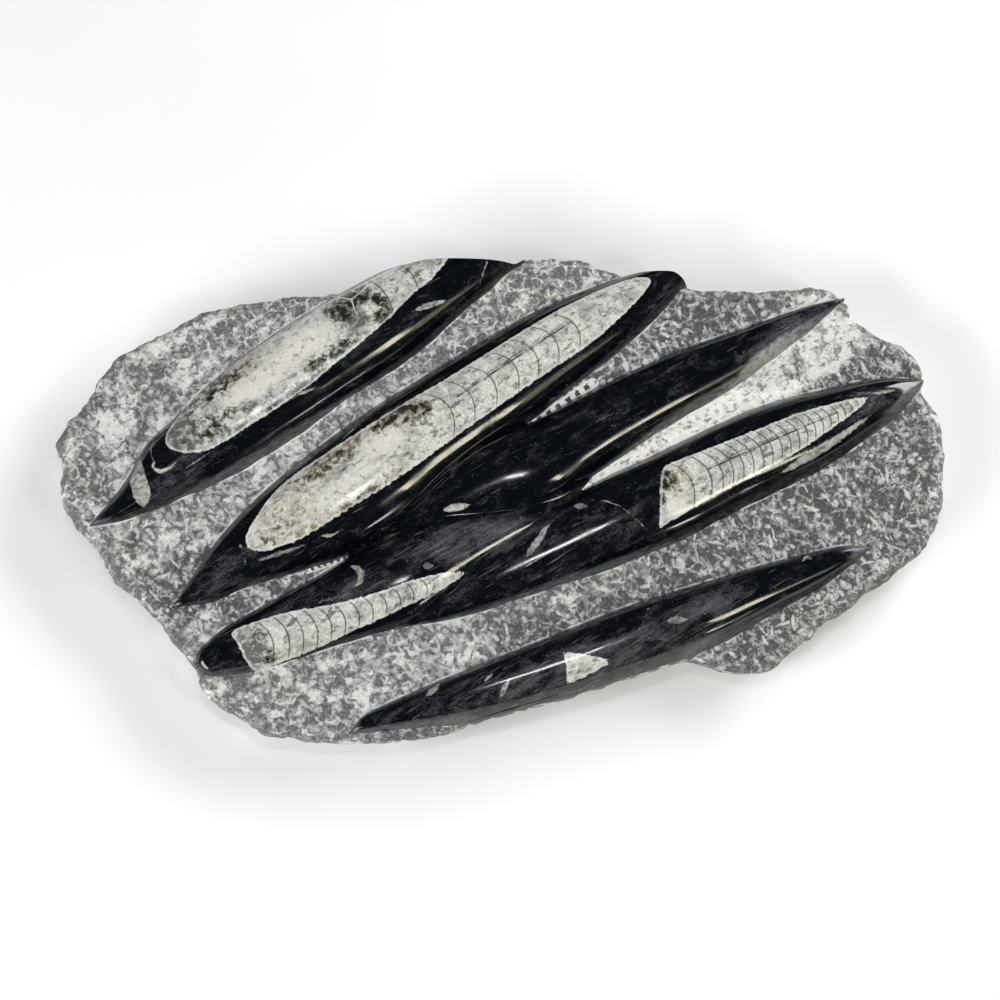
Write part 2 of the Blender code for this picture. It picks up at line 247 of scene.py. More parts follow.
def steps(first, pitch, shrink, count):
    """Places of a row of septa whose chambers get shorter towards the tip."""
    places = [first]
    for index in range(count - 1):
        places.append(places[-1] + pitch - shrink * index)
    return places


SHELLS = {
    "back left": Shell(
        (-120, 15), 33.5,
        far=[(0, 0), (1.5, 3), (6.5, 6.4), (17, 12.5), (27, 14.9), (44, 14.6), (63, 16), (73, 16.5),
             (80, 15.4), (89, 14.4), (101, 13.4), (112, 12.6), (140, 12)],
        near=[(0, 0), (1, -4), (4.5, -7.6), (12, -11.2), (27, -11.4), (51, -11), (66, -8.6), (76.5, -7.4),
              (86, -5.8), (93, -4.9), (100.5, -2.5), (108, -0.8), (116, -0.3), (140, -0.8)],
        septa=[96.6, 109], bulge=0.1),
    "long": Shell(
        (-90, -22.5), 35.4,
        far=[(0, 0), (2.5, 3.6), (8.5, 6.4), (16, 9.8), (22.5, 11.5), (30, 12.2), (48, 11.6),
             (63.5, 11.3), (77, 10.9), (92, 9.6), (112, 9), (130, 8.8), (147.5, 7.8), (164, 5.3),
             (173, 3), (179, -1.5)],
        near=[(0, 0), (0.6, -2.6), (4, -6), (10.5, -7.9), (19.5, -10), (33.5, -10.4), (52.5, -11.4),
              (71, -11), (90, -10.3), (108, -10), (126, -9.6), (144, -9.6), (159, -7.6), (172, -4.8),
              (179, -1.5)],
        septa=[87.9, 96.8, 106.6, 116.4, 125.2, 134.2, 143.6], bulge=0.25, tube=(91.5, 143.5, 1.2, 1.1),
        teeth=(14, 74, 3.1, 0.45)),
    "front right": Shell(
        (55.5, -5.5), 26.3,
        far=[(1.4, -0.9), (3.8, 4), (7.4, 8.6), (8.6, 9.2), (15, 8.8), (20, 8.5), (29, 7.6), (39, 6.8),
             (49, 6.2), (60, 5.6), (70.5, 4), (77.5, 2.8), (84, 1.3), (87.5, -0.3)],
        near=[(1.4, -0.9), (-1.2, -5.5), (-3.7, -10.2), (-3, -10.5), (0.5, -9.9), (9, -9.2), (19, -8.5),
              (31, -8.3), (41, -8), (49.5, -7.5), (57.5, -6.7), (65, -5.6), (74, -3.9), (80.5, -2.6),
              (87.5, -0.3)],
        septa=[14.2] + steps(21.4, 4.3, 0.09, 18), bulge=0.2, tube=(21, 74.4, 0.9, -0.4)),
    "front left": Shell(
        (-92.5, -62), 21.3,
        far=[(2.4, 1), (1.6, 5), (0.8, 8.4), (3, 9.2), (8, 9.2), (16, 8.6), (24.5, 7.4), (33, 5.2),
             (42, 3.8), (50.5, 2.7), (58.5, 2.3), (67, 2.1), (73.5, 1.6), (83, 0.2), (86.5, -0.9)],
        near=[(2.4, 1), (2.4, -2.5), (3.2, -5.6), (5, -7), (8.5, -7.1), (18.5, -7.1), (28.5, -7.1),
              (35.5, -6.7), (43, -6.3), (50, -6.1), (57, -5.7), (64, -5.2), (71, -4.5), (78.5, -3.5),
              (86.5, -0.9)],
        septa=[13.8] + steps(19.6, 5.15, 0, 11), bulge=0.2),
    "foremost": Shell(
        (23, -67.5), 9.2,
        far=[(0.3, 0), (0.2, 5.4), (0.6, 5.9), (5.6, 4.4), (12.3, 2), (17.2, 0)],
        near=[(0.3, 0), (-0.2, -4.6), (0.2, -5), (6.2, -3.6), (11.8, -1.7), (17.2, 0)]),
}

# Pale slivers of other shells in the black stone: a run of points, the width in millimetres and
# how pale it is. With a paleness of 1 it is a healed crack, which shows in the shells too. A fourth
# value makes the ends blunt.
SLIVERS = [
    ([(-124.6, 7.4), (-123.4, 5.6), (-121.4, 4.9), (-118.6, 5.7), (-115.9, 8)], 1.25, 0.95),
    ([(-124.6, 16.6), (-125.4, 13.8), (-125, 10.8), (-123.6, 8.2)], 0.4, 0.7),
    ([(-128.8, 8.8), (-127, 3), (-124.6, -3)], 0.45, 0.9),
    ([(-132.4, 11), (-130.4, 4.5), (-128.4, -1.5), (-127.6, -7)], 6.2, 0.66, 9),
    ([(-112.3, 6.1), (-103.2, 12.2)], 0.35, 0.5),
    ([(-4.6, 85.5), (-7.2, 78)], 0.5, 0.7),
    ([(-31, 65.4), (-25, 68.2), (-19, 70.4)], 2, 0.75),
    ([(-73.7, 32.6), (-65.9, 36.2)], 1, 0.7),
    ([(-63.7, -19.4), (-60, -19.2), (-57, -17.7)], 1, 0.7),
    ([(-85.3, -27.9), (-69, -22.5)], 1.2, 0.35),
    ([(-56.3, 17.6), (-50.3, 23.2)], 0.5, 0.8),
    ([(-92.1, -22.3), (-91.6, -23.6)], 0.8, 0.5),
    ([(-90.3, -27.4), (-89.9, -28.7)], 0.7, 0.5),
    ([(-20, -9.2), (-17, -8.4), (-10.4, -7.2)], 2.6, 0.85),
    ([(-52.9, -29.8), (-50.2, -30.8), (-48.7, -33.2), (-49.2, -36.2), (-51.9, -38.5)], 2.4, 0.5),
    ([(-27, -30.5), (-23.2, -30.4)], 2.6, 0.2),
    ([(9.4, -27.2), (11.2, -24.4), (13.9, -20.6), (16.2, -16.6), (18.6, -14)], 2.5, 0.62),
    ([(26.4, -7.9), (31.6, -8.5)], 2.4, 0.35),
    ([(32.2, -6), (37.5, -6.6), (42.8, -8.8), (46.6, -12), (49.8, -14.8), (53.5, -18.2)], 0.3, 0.45),
    ([(9, -30.5), (17.8, -25.3)], 0.6, 0.5),
    ([(100.5, 4.4), (109.9, 10), (116.9, 14.2), (125, 19.8), (134.1, 26.5)], 2.6, 0.72),
    ([(-54.1, 70.1), (-46.2, 77.6)], 0.55, 1),
    ([(-60.5, 72.6), (-54.1, 70.1), (-52, 62.9)], 0.55, 1),
    ([(135.1, 34.6), (143.3, 36.2)], 1.4, 0.6),
    ([(0.1, -77.2), (3.6, -70.8)], 1.7, 0.7),
    ([(-5.4, -72.1), (-2.3, -68.8)], 1, 0.5),
    ([(1.6, -67.3), (2.2, -66.9)], 0.9, 0.6),
    ([(51.9, -46.2), (52.5, -45.8)], 0.9, 0.6),
    ([(126.6, -25.1), (127.4, -24.7)], 1.6, 0.9),
    ([(58.6, -50.6), (66.1, -50.1)], 2.6, 0.4),
    ([(107.4, -27.8), (109.4, -25.8), (111, -27.4)], 1.2, 0.7),
    ([(-25.6, -76.6), (-22.6, -73.8), (-20.9, -71.9)], 2.2, 0.6),
]

# Soft patches of colour inside each shell: where along and across it, half its length and width,
# its kind and how strong it is
STAINS = {
    "back left": [
        (6, 0, 12, 12, "grey", 0.95), (24, 9, 24, 6.5, "brown", 0.76), (30, 9, 26, 6, "tan", 0.8),
        (18, -4, 18, 7, "brown", 0.62), (22, -6, 30, 6, "grey", 0.8), (62, 4.5, 18, 8, "clean", 1),
        (40, 0, 20, 6, "clean", 0.95), (50, -8.8, 22, 2.8, "grey", 0.95), (38, -9, 5, 2.6, "brown", 0.85),
        (68, -5, 16, 3.6, "brown", 0.78), (84, 6, 14, 13, "grey", 1.1), (83, 9, 12, 9, "brown", 1.05),
        (92, 1, 6, 9, "brown", 1), (88.5, 2, 4.4, 4, "clean", 1), (124, 8, 14, 9, "grey", 0.45)],
    "long": [
        (70, 9, 14, 5, "brown", 0.92), (77, 4.5, 8, 6, "brown", 0.95), (66, 7, 20, 6, "tan", 0.8),
        (44, 8.5, 26, 5, "tan", 1), (40, 8, 26, 4.5, "brown", 0.52), (44, 2, 8, 4, "grey", 0.6),
        (16, -1, 22, 11, "tan", 0.56), (9, -2, 9, 6, "brown", 0.36), (34, -9, 40, 3.4, "tan", 0.8),
        (42, -10.4, 26, 2.2, "brown", 0.6), (60, 2, 12, 5, "clean", 1), (40, -3, 22, 3.4, "clean", 0.8),
        (84, -3, 6, 8, "tan", 0.35), (135, 8, 50, 2.6, "grey", 0.35), (160, 0, 18, 7, "grey", 0.4)],
    "front right": [
        (7, 3, 8, 7, "tan", 1), (5.5, 4, 5.5, 6, "brown", 0.92), (1, -1.5, 3.4, 4.5, "brown", 0.95),
        (5, -6.5, 6, 4, "clean", 1), (50, 4.6, 50, 3.8, "grey", 0.45)],
    "front left": [
        (4, -1, 10.5, 12, "grey", 0.9), (10, 4.4, 4, 3, "brown", 0.85), (11, -4.4, 2.6, 3, "brown", 0.9),
        (66, 0, 26, 5, "grey", 0.42)],
}

# Soft grey veils in the black stone, some of them a painted sheen where the polish would reflect
# the room: a middle, half its length and width, its turn in degrees and how strong it is
VEILS_AND_SHEEN = [
    ((-8, -20), 36, 9, 14, 1),
    ((30, -66), 85, 13, 19, 0.75),
    ((20, -25), 50, 11, 25, 0.35),
    ((-60, -41), 36, 7, 15, 0.5),
    ((-96, -31), 20, 7, 34, 0.5),
    ((104, 57), 28, 6.5, 33, 1),
    ((-118, 2), 26, 7, 33, 0.4),
    ((132, 30), 26, 6, 26, 0.6),
    # Painted sheen: the soft grey reflection along the right half of the foremost ridge
    ((72, -46), 24, 7, 20, 0.9),
]

# Flanks that were ground but not polished, along a foot, their grey partly a painted reflection of
# the polished flank: a middle, half its length and width, its turn in degrees and how far up the flank it
# reaches in millimetres
GROUND_AND_SHEEN = [
    ((-138, 3), 24, 9, 56, 3.2),
    ((-95, 2), 62, 9, 37, 3.6),
    ((-104, -22), 26, 9, 54, 2.2),
    ((34, 66), 50, 9, 31, 3),
    ((76, 31), 36, 8, 31, 3.4),
    ((28, -37), 60, 9, 21, 2.6),
    ((-22, -62), 60, 9, 19, 1.6),
    ((40, -68), 100, 10, 17, 2.8),
    ((-92, -73), 22, 9, 12, 1.8),
    ((144, 32), 22, 6, 27, 3.2),
    ((128, -23), 12, 4, 17, 2.4),
    ((-56, -88), 10, 4, 17, 2.4),
    ((104, 53), 26, 8, 34, 6),
]

# Pale powder left on the ground flanks: a middle, half its length and width, its turn in degrees
# and how strong it is
POWDER = [
    ((99, 49), 30, 7.5, 35, 1),
    ((60, 22.5), 26, 4, 31, 0.45),
    ((128, 41), 24, 4, 20, 0.4),
]

# Small chambered shells at the surface of the field: both ends, half the width and the pitch of
# the dark chambers in millimetres, and how clear they are
LADDERS = [
    ((9.6, 23.3), (34, 40.6), 1.9, 4.2, 1),
    ((-68, -29.4), (-52.7, -23.9), 1.35, 2.4, 1),
    ((34, 7.8), (66, 24.8), 1.2, 3.1, 0.6),
    ((46.5, 16.4), (92, 35), 1.1, 3.7, 0.42),
    ((72, 31.6), (104, 50.4), 1.2, 4.4, 0.36),
]

# How the stone was worked: one style for each stretch of the field, given by a middle, half its
# length and width and its turn in degrees. The first row takes in whatever the others leave.
WORKED = [
    ((40, -20), 400, 400, 0, "picked"),
    ((-120, 30), 52, 48, 40, "bruised"),
    ((-80, -72), 82, 30, 16, "bruised"),
    ((-60, 20), 95, 12, 34, "bruised"),
    ((-8, -44), 60, 9, 15, "bruised"),
    ((-6, 90), 62, 18, 0, "crazed"),
    ((5, 66), 44, 9, 34, "crazed"),
    ((-70, 70), 60, 15, 12, "crazed"),
    ((86, 75), 44, 13, 4, "rubbed"),
    ((70, 22), 70, 9, 31, "powdery"),
    ((112, 58), 34, 15, 28, "worn"),
    ((-117, 60), 28, 2.6, 29, "worn"),
    ((-140.5, 24), 9, 6, 35, "worn"),
    ((-128, 17), 14, 2.6, 52, "worn"),
    ((-113, 46), 9, 4, 25, "worn"),
]

# For each style: share of the stone struck, half length, half width, heading and its spread;
# then how blotched the stone is, how clearly it was picked and how crazed it is
STYLES = {
    "picked": (0.1, (1, 2.4), (0.45, 0.9), -62, 38, 0.12, 0.8, 0.6),
    "bruised": (0.26, (0.9, 2.2), (0.7, 1.5), 35, 80, 0.46, 0.55, 0),
    "crazed": (0.1, (1.6, 4.4), (0.4, 0.6), 25, 55, 0.26, 0.3, 0.85),
    "worn": (0.5, (1.2, 3), (0.8, 1.5), 30, 60, 1.1, 0.6, 0),
    "powdery": (0.3, (0.8, 1.6), (0.5, 0.9), 30, 60, 1.4, 0.5, 0),
    "rubbed": (0.04, (1, 2.4), (0.45, 0.9), -62, 38, -0.35, 0.74, 0.6),
}


# ---------------------------------------------------------------------------------------------
# Relief

def swell(points, size, seed):
    """Smooth noise between about -1 and 1, with lumps of the given size."""
    values = [noise.noise(Vector((x / size, y / size, seed))) for x, y in points]
    return 2.0 * np.array(values)


def smooth_step(value, low, high):
    """0 below low, 1 above high, and soft in between."""
    share = np.clip((value - low) / (high - low), 0.0, 1.0)
    return share * share * (3.0 - 2.0 * share)


def gap_to_line(points, line, closed=False):
    """Shortest distance from each point to a line of short straight runs."""
    ends = np.roll(line, -1, axis=0) if closed else line[1:]
    nearest = np.full(len(points), np.inf)
    for start, end in zip(line, ends):
        run = end - start
        share = np.clip((points - start) @ run / max(run @ run, 1e-9), 0.0, 1.0)
        gap = points - start - share[:, None] * run
        nearest = np.minimum(nearest, np.hypot(gap[:, 0], gap[:, 1]))
    return nearest


def inside(points, loop):
    """Which points lie inside a closed loop."""
    crossings = np.zeros(len(points), dtype=int)
    x, y = points[:, 0], points[:, 1]
    for (x0, y0), (x1, y1) in zip(loop, np.roll(loop, -1, axis=0)):
        if y0 != y1:
            spans = (y0 > y) != (y1 > y)
            crossings += spans & (x < x0 + (y - y0) * (x1 - x0) / (y1 - y0))
    return crossings % 2 == 1


def tree_of(points):
    """A search tree over points in the slab's plane."""
    tree = kdtree.KDTree(len(points))
    for index, (x, y) in enumerate(points):
        tree.insert((x, y, 0.0), index)
    tree.balance()
    return tree


def nearest_in(tree, points):
    """Index of the nearest point in the tree and the distance to it, for each point."""
    found = [tree.find((x, y, 0.0)) for x, y in points]
    return np.array([row[1] for row in found]), np.array([row[2] for row in found])


def smooth_ring(values, passes):
    """Average the values round a closed ring."""
    for _ in range(passes):
        values = (np.roll(values, 1, axis=0) + 2 * values + np.roll(values, -1, axis=0)) / 4
    return values


def inward_directions(edge, passes=10):
    """Unit vectors pointing into the slab, evened out along the edge."""
    run = np.roll(edge, -1, axis=0) - np.roll(edge, 1, axis=0)
    inward = smooth_ring(np.stack((run[:, 1], -run[:, 0]), axis=1), passes)
    return inward / np.hypot(inward[:, 0], inward[:, 1])[:, None]


class Relief:
    """Heights of the carved face, in millimetres above the sawn back."""

    def __init__(self, sizes, edge):
        self.sizes = sizes
        self.edge = edge
        self.edge_tree = tree_of(edge)

    def edge_distance(self, points):
        """Distance from points of the slab to its broken edge."""
        index = nearest_in(self.edge_tree, points)[0]
        nearest = np.full(len(points), np.inf)
        for first, second in ((-1, 0), (0, 1)):
            start = self.edge[(index + first) % len(self.edge)]
            run = self.edge[(index + second) % len(self.edge)] - start
            share = np.sum((points - start) * run, axis=1) / np.sum(run * run, axis=1)
            gap = points - start - np.clip(share, 0.0, 1.0)[:, None] * run
            nearest = np.minimum(nearest, np.hypot(gap[:, 0], gap[:, 1]))
        return nearest

    def field(self, points, rim=None):
        """The stone between the ridges, worn round along the broken edge."""
        if rim is None:
            rim = self.edge_distance(points)
        shoulder = self.sizes.shoulder
        drop = shoulder * (1.0 - np.sqrt(1.0 - np.clip(1.0 - rim / shoulder, 0.0, 1.0) ** 2))
        height = self.sizes.field_height - drop + 0.8 * swell(points, 38.0, 3.1)
        return height + 0.35 * swell(points, 7.0, 8.4)

    def polished(self, group, points, waver=None):
        """Height of the ridges of one group, softly run together."""
        blend = 2.5
        base = self.sizes.field_height
        height = group[0].surface(points, base)
        for ridge in group[1:]:
            other = ridge.surface(points, base)
            near = np.maximum(blend - np.abs(height - other), 0.0) / blend
            height = np.maximum(height, other) + near ** 2 * blend / 4
        if waver is None:
            waver = self.waver(points)
        return height + waver

    def waver(self, points):
        """The slight unevenness that hand polishing leaves, with long facets from grinding."""
        turn = math.radians(30.0)
        along = points @ np.array((math.cos(turn), math.sin(turn)))
        across = points @ np.array((-math.sin(turn), math.cos(turn)))
        facets = swell(np.column_stack((along / 6.0, across)), 7.0, 4.9)
        return self.sizes.polish_waver * (swell(points, 17.0, 2.7) + 0.45 * facets)

    def tallest(self, points, waver=None):
        """Which group stands highest over each point, with its height."""
        if waver is None:
            waver = self.waver(points)
        heights = np.array([self.polished(group, points, waver) for group in GROUPS])
        return np.argmax(heights, axis=0), heights.max(axis=0)


def ridge_rise(points):
    """How high the ridges stand over the field at each point, and below it beside them."""
    return np.max([ridge.surface(points, 0) for group in GROUPS for ridge in group], axis=0)


def broken_edge(jag, step):
    """The outline in short runs, with the small jags of a broken edge.

    Where a ridge runs out over the edge the stone was cut clean, so there are no jags there.
    """
    corners = np.array(OUTLINE)
    walked = []
    for start, end in zip(corners, np.roll(corners, -1, axis=0)):
        runs = max(1, round(float(np.hypot(*(end - start))) / step))
        walked += [start + (end - start) * run / runs for run in range(runs)]
    edge = smooth_ring(np.array(walked), passes=8)
    inward = inward_directions(edge)
    loose = smooth_ring((ridge_rise(edge) < -4.0).astype(float), passes=6)
    rough = 0.55 * swell(edge, 9.0, 1.3) + 0.3 * swell(edge, 3.4, 6.2) + 0.16 * swell(edge, 1.4, 2.2)
    return edge + inward * ((rough + 0.25) * jag * loose)[:, None]


def foot_lines(relief, group, ridge, step):
    """Where a ridge meets the field or another ridge, as runs of points."""
    stations = np.linspace(0.0, 1.0, round(ridge.length / step) + 1)[1:-1]
    middle, half = ridge.feet(stations)
    reach = np.linspace(0.0, 1.6, 65)     # shares of the half width that are tried
    lines = []
    for side in (-1.0, 1.0):
        offsets = middle[:, None] + side * half[:, None] * reach
        spots = ridge.points(np.repeat(stations, len(reach)), offsets.ravel())
        waver = relief.waver(spots)
        own = relief.polished(group, spots, waver)
        others = relief.field(spots)
        for other in GROUPS:
            if other is not group:
                others = np.maximum(others, relief.polished(other, spots, waver))
        clear = (own - others).reshape(offsets.shape)
        run = []
        for index, row in enumerate(clear):
            if row[0] <= 0.0 or row.min() > 0.0:
                lines.append(run)
                run = []
                continue
            under = int(np.argmax(row <= 0.0))
            back = row[under] / (row[under] - row[under - 1])
            offset = offsets[index, under] * (1.0 - back) + offsets[index, under - 1] * back
            run.append(ridge.points(stations[index], offset))
        lines.append(run)
    kept = []
    closest_to_edge = 0.25
    for run in lines:
        if len(run) > 1:
            run = np.array(run)
            keep = inside(run, relief.edge) & (relief.edge_distance(run) > closest_to_edge)
            kept.append(run[keep])
    return kept


class Plan:
    """Points and creases of the carved face, seen from above."""

    def __init__(self, edge, closest):
        self.points = [tuple(point) for point in edge]
        self.creases = []
        self.sort_into_cells(closest)

    def sort_into_cells(self, closest):
        """Sort the points into squares as wide as the closest that two of them may stand."""
        self.closest = closest
        self.cells = {}
        for index, point in enumerate(self.points):
            self.cells.setdefault(self.cell(point), []).append(index)

    def cell(self, point):
        """The square of the plan that a point falls in."""
        return int(point[0] // self.closest), int(point[1] // self.closest)

    def add(self, point):
        """Index of a point, or of the one already standing close by."""
        column, row = self.cell(point)
        best, nearest = self.closest, None
        for x in (column - 1, column, column + 1):
            for y in (row - 1, row, row + 1):
                for index in self.cells.get((x, y), ()):
                    other = self.points[index]
                    gap = math.hypot(other[0] - point[0], other[1] - point[1])
                    if gap < best:
                        best, nearest = gap, index
        if nearest is not None:
            return nearest
        self.points.append((float(point[0]), float(point[1])))
        self.cells.setdefault((column, row), []).append(len(self.points) - 1)
        return len(self.points) - 1

    def add_crease(self, line):
        """A run of points whose links stay as edges of the mesh."""
        indices = [self.add(point) for point in line]
        for first, second in zip(indices, indices[1:]):
            if first != second:
                self.creases.append((first, second))


def staggered_grid(low, high, step):
    """A grid of points in staggered rows over a box."""
    rows = np.arange(low[1], high[1], step * math.sqrt(3) / 2)
    columns = np.arange(low[0], high[0], step)
    shift = np.where(np.arange(len(rows)) % 2, step / 2, 0.0)
    x = columns[None, :] + shift[:, None]
    y = np.repeat(rows[:, None], len(columns), axis=1)
    return np.column_stack((x.ravel(), y.ravel()))


def plan_face(relief):
    """Every point and crease of the carved face in plan."""
    sizes = relief.sizes
    edge = relief.edge
    plan = Plan(edge, closest=0.5)
    for group in GROUPS:
        for ridge in group:
            for line in foot_lines(relief, group, ridge, step=0.85):
                plan.add_crease(line)
    plan.sort_into_cells(closest=0.3)

    inward = inward_directions(edge)
    rows = [edge + inward * inset for inset in (0.18, 0.6)]
    rows += [walk_line(line, step=0.5) for line, *_ in SLIVERS]
    rows += [walk_line(shell.outline(), step=0.6) for shell in SHELLS.values()]
    closest_to_edge = 0.12
    for line in rows:
        keep = inside(line, edge) & (relief.edge_distance(line) > closest_to_edge)
        for point in line[keep]:
            plan.add(point)

    fixed = tree_of(plan.points)
    low, high = edge.min(axis=0), edge.max(axis=0)
    either_side = 3.0     # height over or under the field that settles which grid has the point
    clear_share = 0.55    # share of the grid's step that is kept clear round the fixed points
    for step, on_ridges in ((sizes.field_grain, False), (sizes.ridge_grain, True)):
        grid = staggered_grid(low, high, step)
        grid = grid[inside(grid, edge)]
        rise = ridge_rise(grid)
        grid = grid[(rise > -either_side) if on_ridges else (rise < either_side)]
        clear = relief.tallest(grid)[1] - relief.field(grid)
        grid = grid[(clear > 0.0) == on_ridges]
        grid = grid[nearest_in(fixed, grid)[1] > clear_share * step]
        plan.points += [tuple(point) for point in grid]
    return plan


def upward(flat, faces):
    """The faces turned so that they are all seen from above."""
    a, b, c = (flat[faces[:, column]] for column in range(3))
    turn = (b[:, 0] - a[:, 0]) * (c[:, 1] - a[:, 1]) - (b[:, 1] - a[:, 1]) * (c[:, 0] - a[:, 0])
    flipped = faces[:, ::-1]
    return np.where((turn > 0)[:, None], faces, flipped)


def triangles_over(points, edges, ring_length):
    """Triangles that fill the first ring of points and keep the given edges."""
    flat = [Vector(point) for point in points]
    inside_only, closest = 1, 1e-5
    ring = list(range(ring_length))
    result = delaunay_2d_cdt(flat, edges, [ring], inside_only, closest)
    spots = np.array([tuple(point) for point in result[0]])
    return spots, upward(spots, np.array([tuple(face) for face in result[2]]))


def band(upper, lower):
    """Triangles between two rings that run clockwise, seen from above."""
    after_upper, after_lower = np.roll(upper, -1), np.roll(lower, -1)
    first = np.column_stack((upper, after_upper, lower))
    second = np.column_stack((after_upper, after_lower, lower))
    return np.vstack((first, second))


# ---------------------------------------------------------------------------------------------
# Chisel work and shells, point by point

def in_patch(points, middle, half_length, half_width, heading):
    """How far along and across a turned patch the points lie: 1 or -1 at its ends and sides."""
    cos, sin = math.cos(heading), math.sin(heading)
    away = points - middle
    along = (away[:, 0] * cos + away[:, 1] * sin) / half_length
    return along, (away[:, 1] * cos - away[:, 0] * sin) / half_width


def style_at(points):
    """Which row of WORKED each point falls in: the last one whose patch covers it."""
    style = np.zeros(len(points), dtype=int)
    ragged = 0.25 * swell(points, 9.0, 4.4)
    for index, (middle, half_length, half_width, turn, _) in enumerate(WORKED):
        along, across = in_patch(points, middle, half_length, half_width, math.radians(turn))
        style[along ** 2 + across ** 2 < 1.0 + ragged] = index
    return style


def blurred(values, faces, passes):
    """Values at the points of a mesh, averaged with their neighbours again and again."""
    corners = faces.ravel()
    share = np.bincount(corners, minlength=len(values))
    for _ in range(passes):
        middles = np.repeat(values[faces].mean(axis=1), 3)
        values = np.bincount(corners, middles, minlength=len(values)) / np.maximum(share, 1)
    return values


def chisel(points, tree, sizes):
    """How bruised the stone is at each point, and how deep the strokes go there."""
    dice = np.random.RandomState(sizes.seed)
    low, high = points.min(axis=0), points.max(axis=0)
    area = float(np.prod(high - low))
    bruise, depth = np.zeros(len(points)), np.zeros(len(points))
    names = [row[-1] for row in WORKED]
    for name, (cover, lengths, widths, heading, spread, *_) in STYLES.items():
        stroke_area = math.pi * sum(lengths) / 2 * sum(widths) / 2
        count = int(-math.log(1.0 - cover) * area / stroke_area)
        centres = low + dice.rand(count, 2) * (high - low)
        length = lengths[0] + dice.rand(count) * (lengths[1] - lengths[0])
        width = widths[0] + dice.rand(count) * (widths[1] - widths[0])
        turn = np.radians(heading + spread * dice.randn(count))
        strength = 0.55 + 0.45 * dice.rand(count)
        styles = style_at(centres)
        for index in range(count):
            if names[styles[index]] != name:
                continue
            spot = centres[index]
            found = tree.find_range((spot[0], spot[1], 0.0), float(length[index]))
            if not found:
                continue
            hit = np.array([row[1] for row in found])
            along, across = in_patch(points[hit], spot, length[index], width[index], turn[index])
            core = np.maximum(0.0, 1.0 - along ** 2 - across ** 2)
            bruise[hit] = np.maximum(bruise[hit], strength[index] * np.sqrt(core))
            depth[hit] = np.maximum(depth[hit], strength[index] * core)
    return bruise, depth


# What is known of the shells at a point outside them all
OUTSIDE_SHELLS = {
    "shell_rim": FAR_AWAY, "shell_chamber": -0.5, "shell_pitch": 5.0, "shell_tube": 5.0,
    "stain_brown": 0.0, "stain_tan": 0.0, "stain_grey": 0.0, "stain_clean": 0.0,
}


def shell_values(points):
    """For each point: where it lies in a shell, and the soft stains there."""
    values = {name: np.full(len(points), value) for name, value in OUTSIDE_SHELLS.items()}
    for name, shell in SHELLS.items():
        run, offset = shell.place(points)
        beyond, beside = 9.0, 26.0
        past_tip = run > shell.far[-1][0] + beyond
        index = np.flatnonzero((run > -beyond) & ~past_tip & (np.abs(offset) < beside))
        run, offset = run[index], offset[index]
        loop = shell.outline()
        rim = gap_to_line(points[index], loop, closed=True)
        rim = np.where(inside(points[index], loop), rim, -rim)
        values["shell_rim"][index] = np.maximum(values["shell_rim"][index], rim)
        far, near = shell.sides(run)
        half = np.maximum((far - near) / 2, 0.3)
        across = np.clip((offset - (far + near) / 2) / half, -1.6, 1.6)
        own = rim > -2.0
        if shell.septa:
            septa = np.array(shell.septa)
            bent = run + shell.bulge * 2 * half * across ** 2
            chamber = np.interp(bent, septa, np.arange(len(septa)))
            pitches = np.append(np.diff(septa), septa[-1] - septa[-2])
            chamber += np.minimum(bent - septa[0], 0.0) / pitches[0]
            chamber += np.maximum(bent - septa[-1], 0.0) / pitches[-1]
            chamber = np.clip(chamber, -0.5, len(septa) - 0.5)
            values["shell_chamber"][index[own]] = chamber[own]
            values["shell_pitch"][index[own]] = np.interp(bent, septa, pitches)[own]
        if shell.tube:
            start, end, first, last = shell.tube
            middle = first + (last - first) * np.clip((run - start) / (end - start), 0.0, 1.0)
            past = np.maximum(np.maximum(start - run, run - end), 0.0)
            tube = np.where(past > 0.0, OUTSIDE_SHELLS["shell_tube"], offset - middle)
            values["shell_tube"][index[own]] = tube[own]
        for at, side, length, width, kind, strength in STAINS.get(name, ()):
            away = np.hypot((run - at) / length, (offset - side) / width)
            patch = strength * (1.0 - smooth_step(away, 0.35, 1.15))
            stain = values["stain_" + kind]
            stain[index] = np.maximum(stain[index], patch)
    return values


def patches(points, table):
    """The strongest of a table's soft patches at each point."""
    value = np.zeros(len(points))
    for middle, half_length, half_width, turn, strength in table:
        away = np.hypot(*in_patch(points, middle, half_length, half_width, math.radians(turn)))
        value = np.maximum(value, strength * (1.0 - smooth_step(away, 0.2, 1.2)))
    return value


def ladder_values(points):
    """How many chambers along a small shell of the field each point lies, and how far beside it.

    The distance is in half widths of the shell.
    """
    chamber, clear = np.zeros(len(points)), np.zeros(len(points))
    beside = np.full(len(points), -FAR_AWAY)
    for start, end, half_width, pitch, strength in LADDERS:
        run = np.array(end) - start
        length = math.hypot(*run)
        along = (points - start) @ run / length
        past = np.maximum(np.maximum(-along, along - length), 0.0)
        across = (points - start) @ np.array((-run[1], run[0])) / length
        gap = np.hypot(across, past) / half_width
        closer = gap < np.abs(beside)
        chamber[closer] = along[closer] / pitch
        beside[closer] = (np.sign(across) * gap)[closer]
        clear[closer] = strength
    return {"ladder_chamber": chamber, "ladder_side": beside, "ladder_clear": clear}


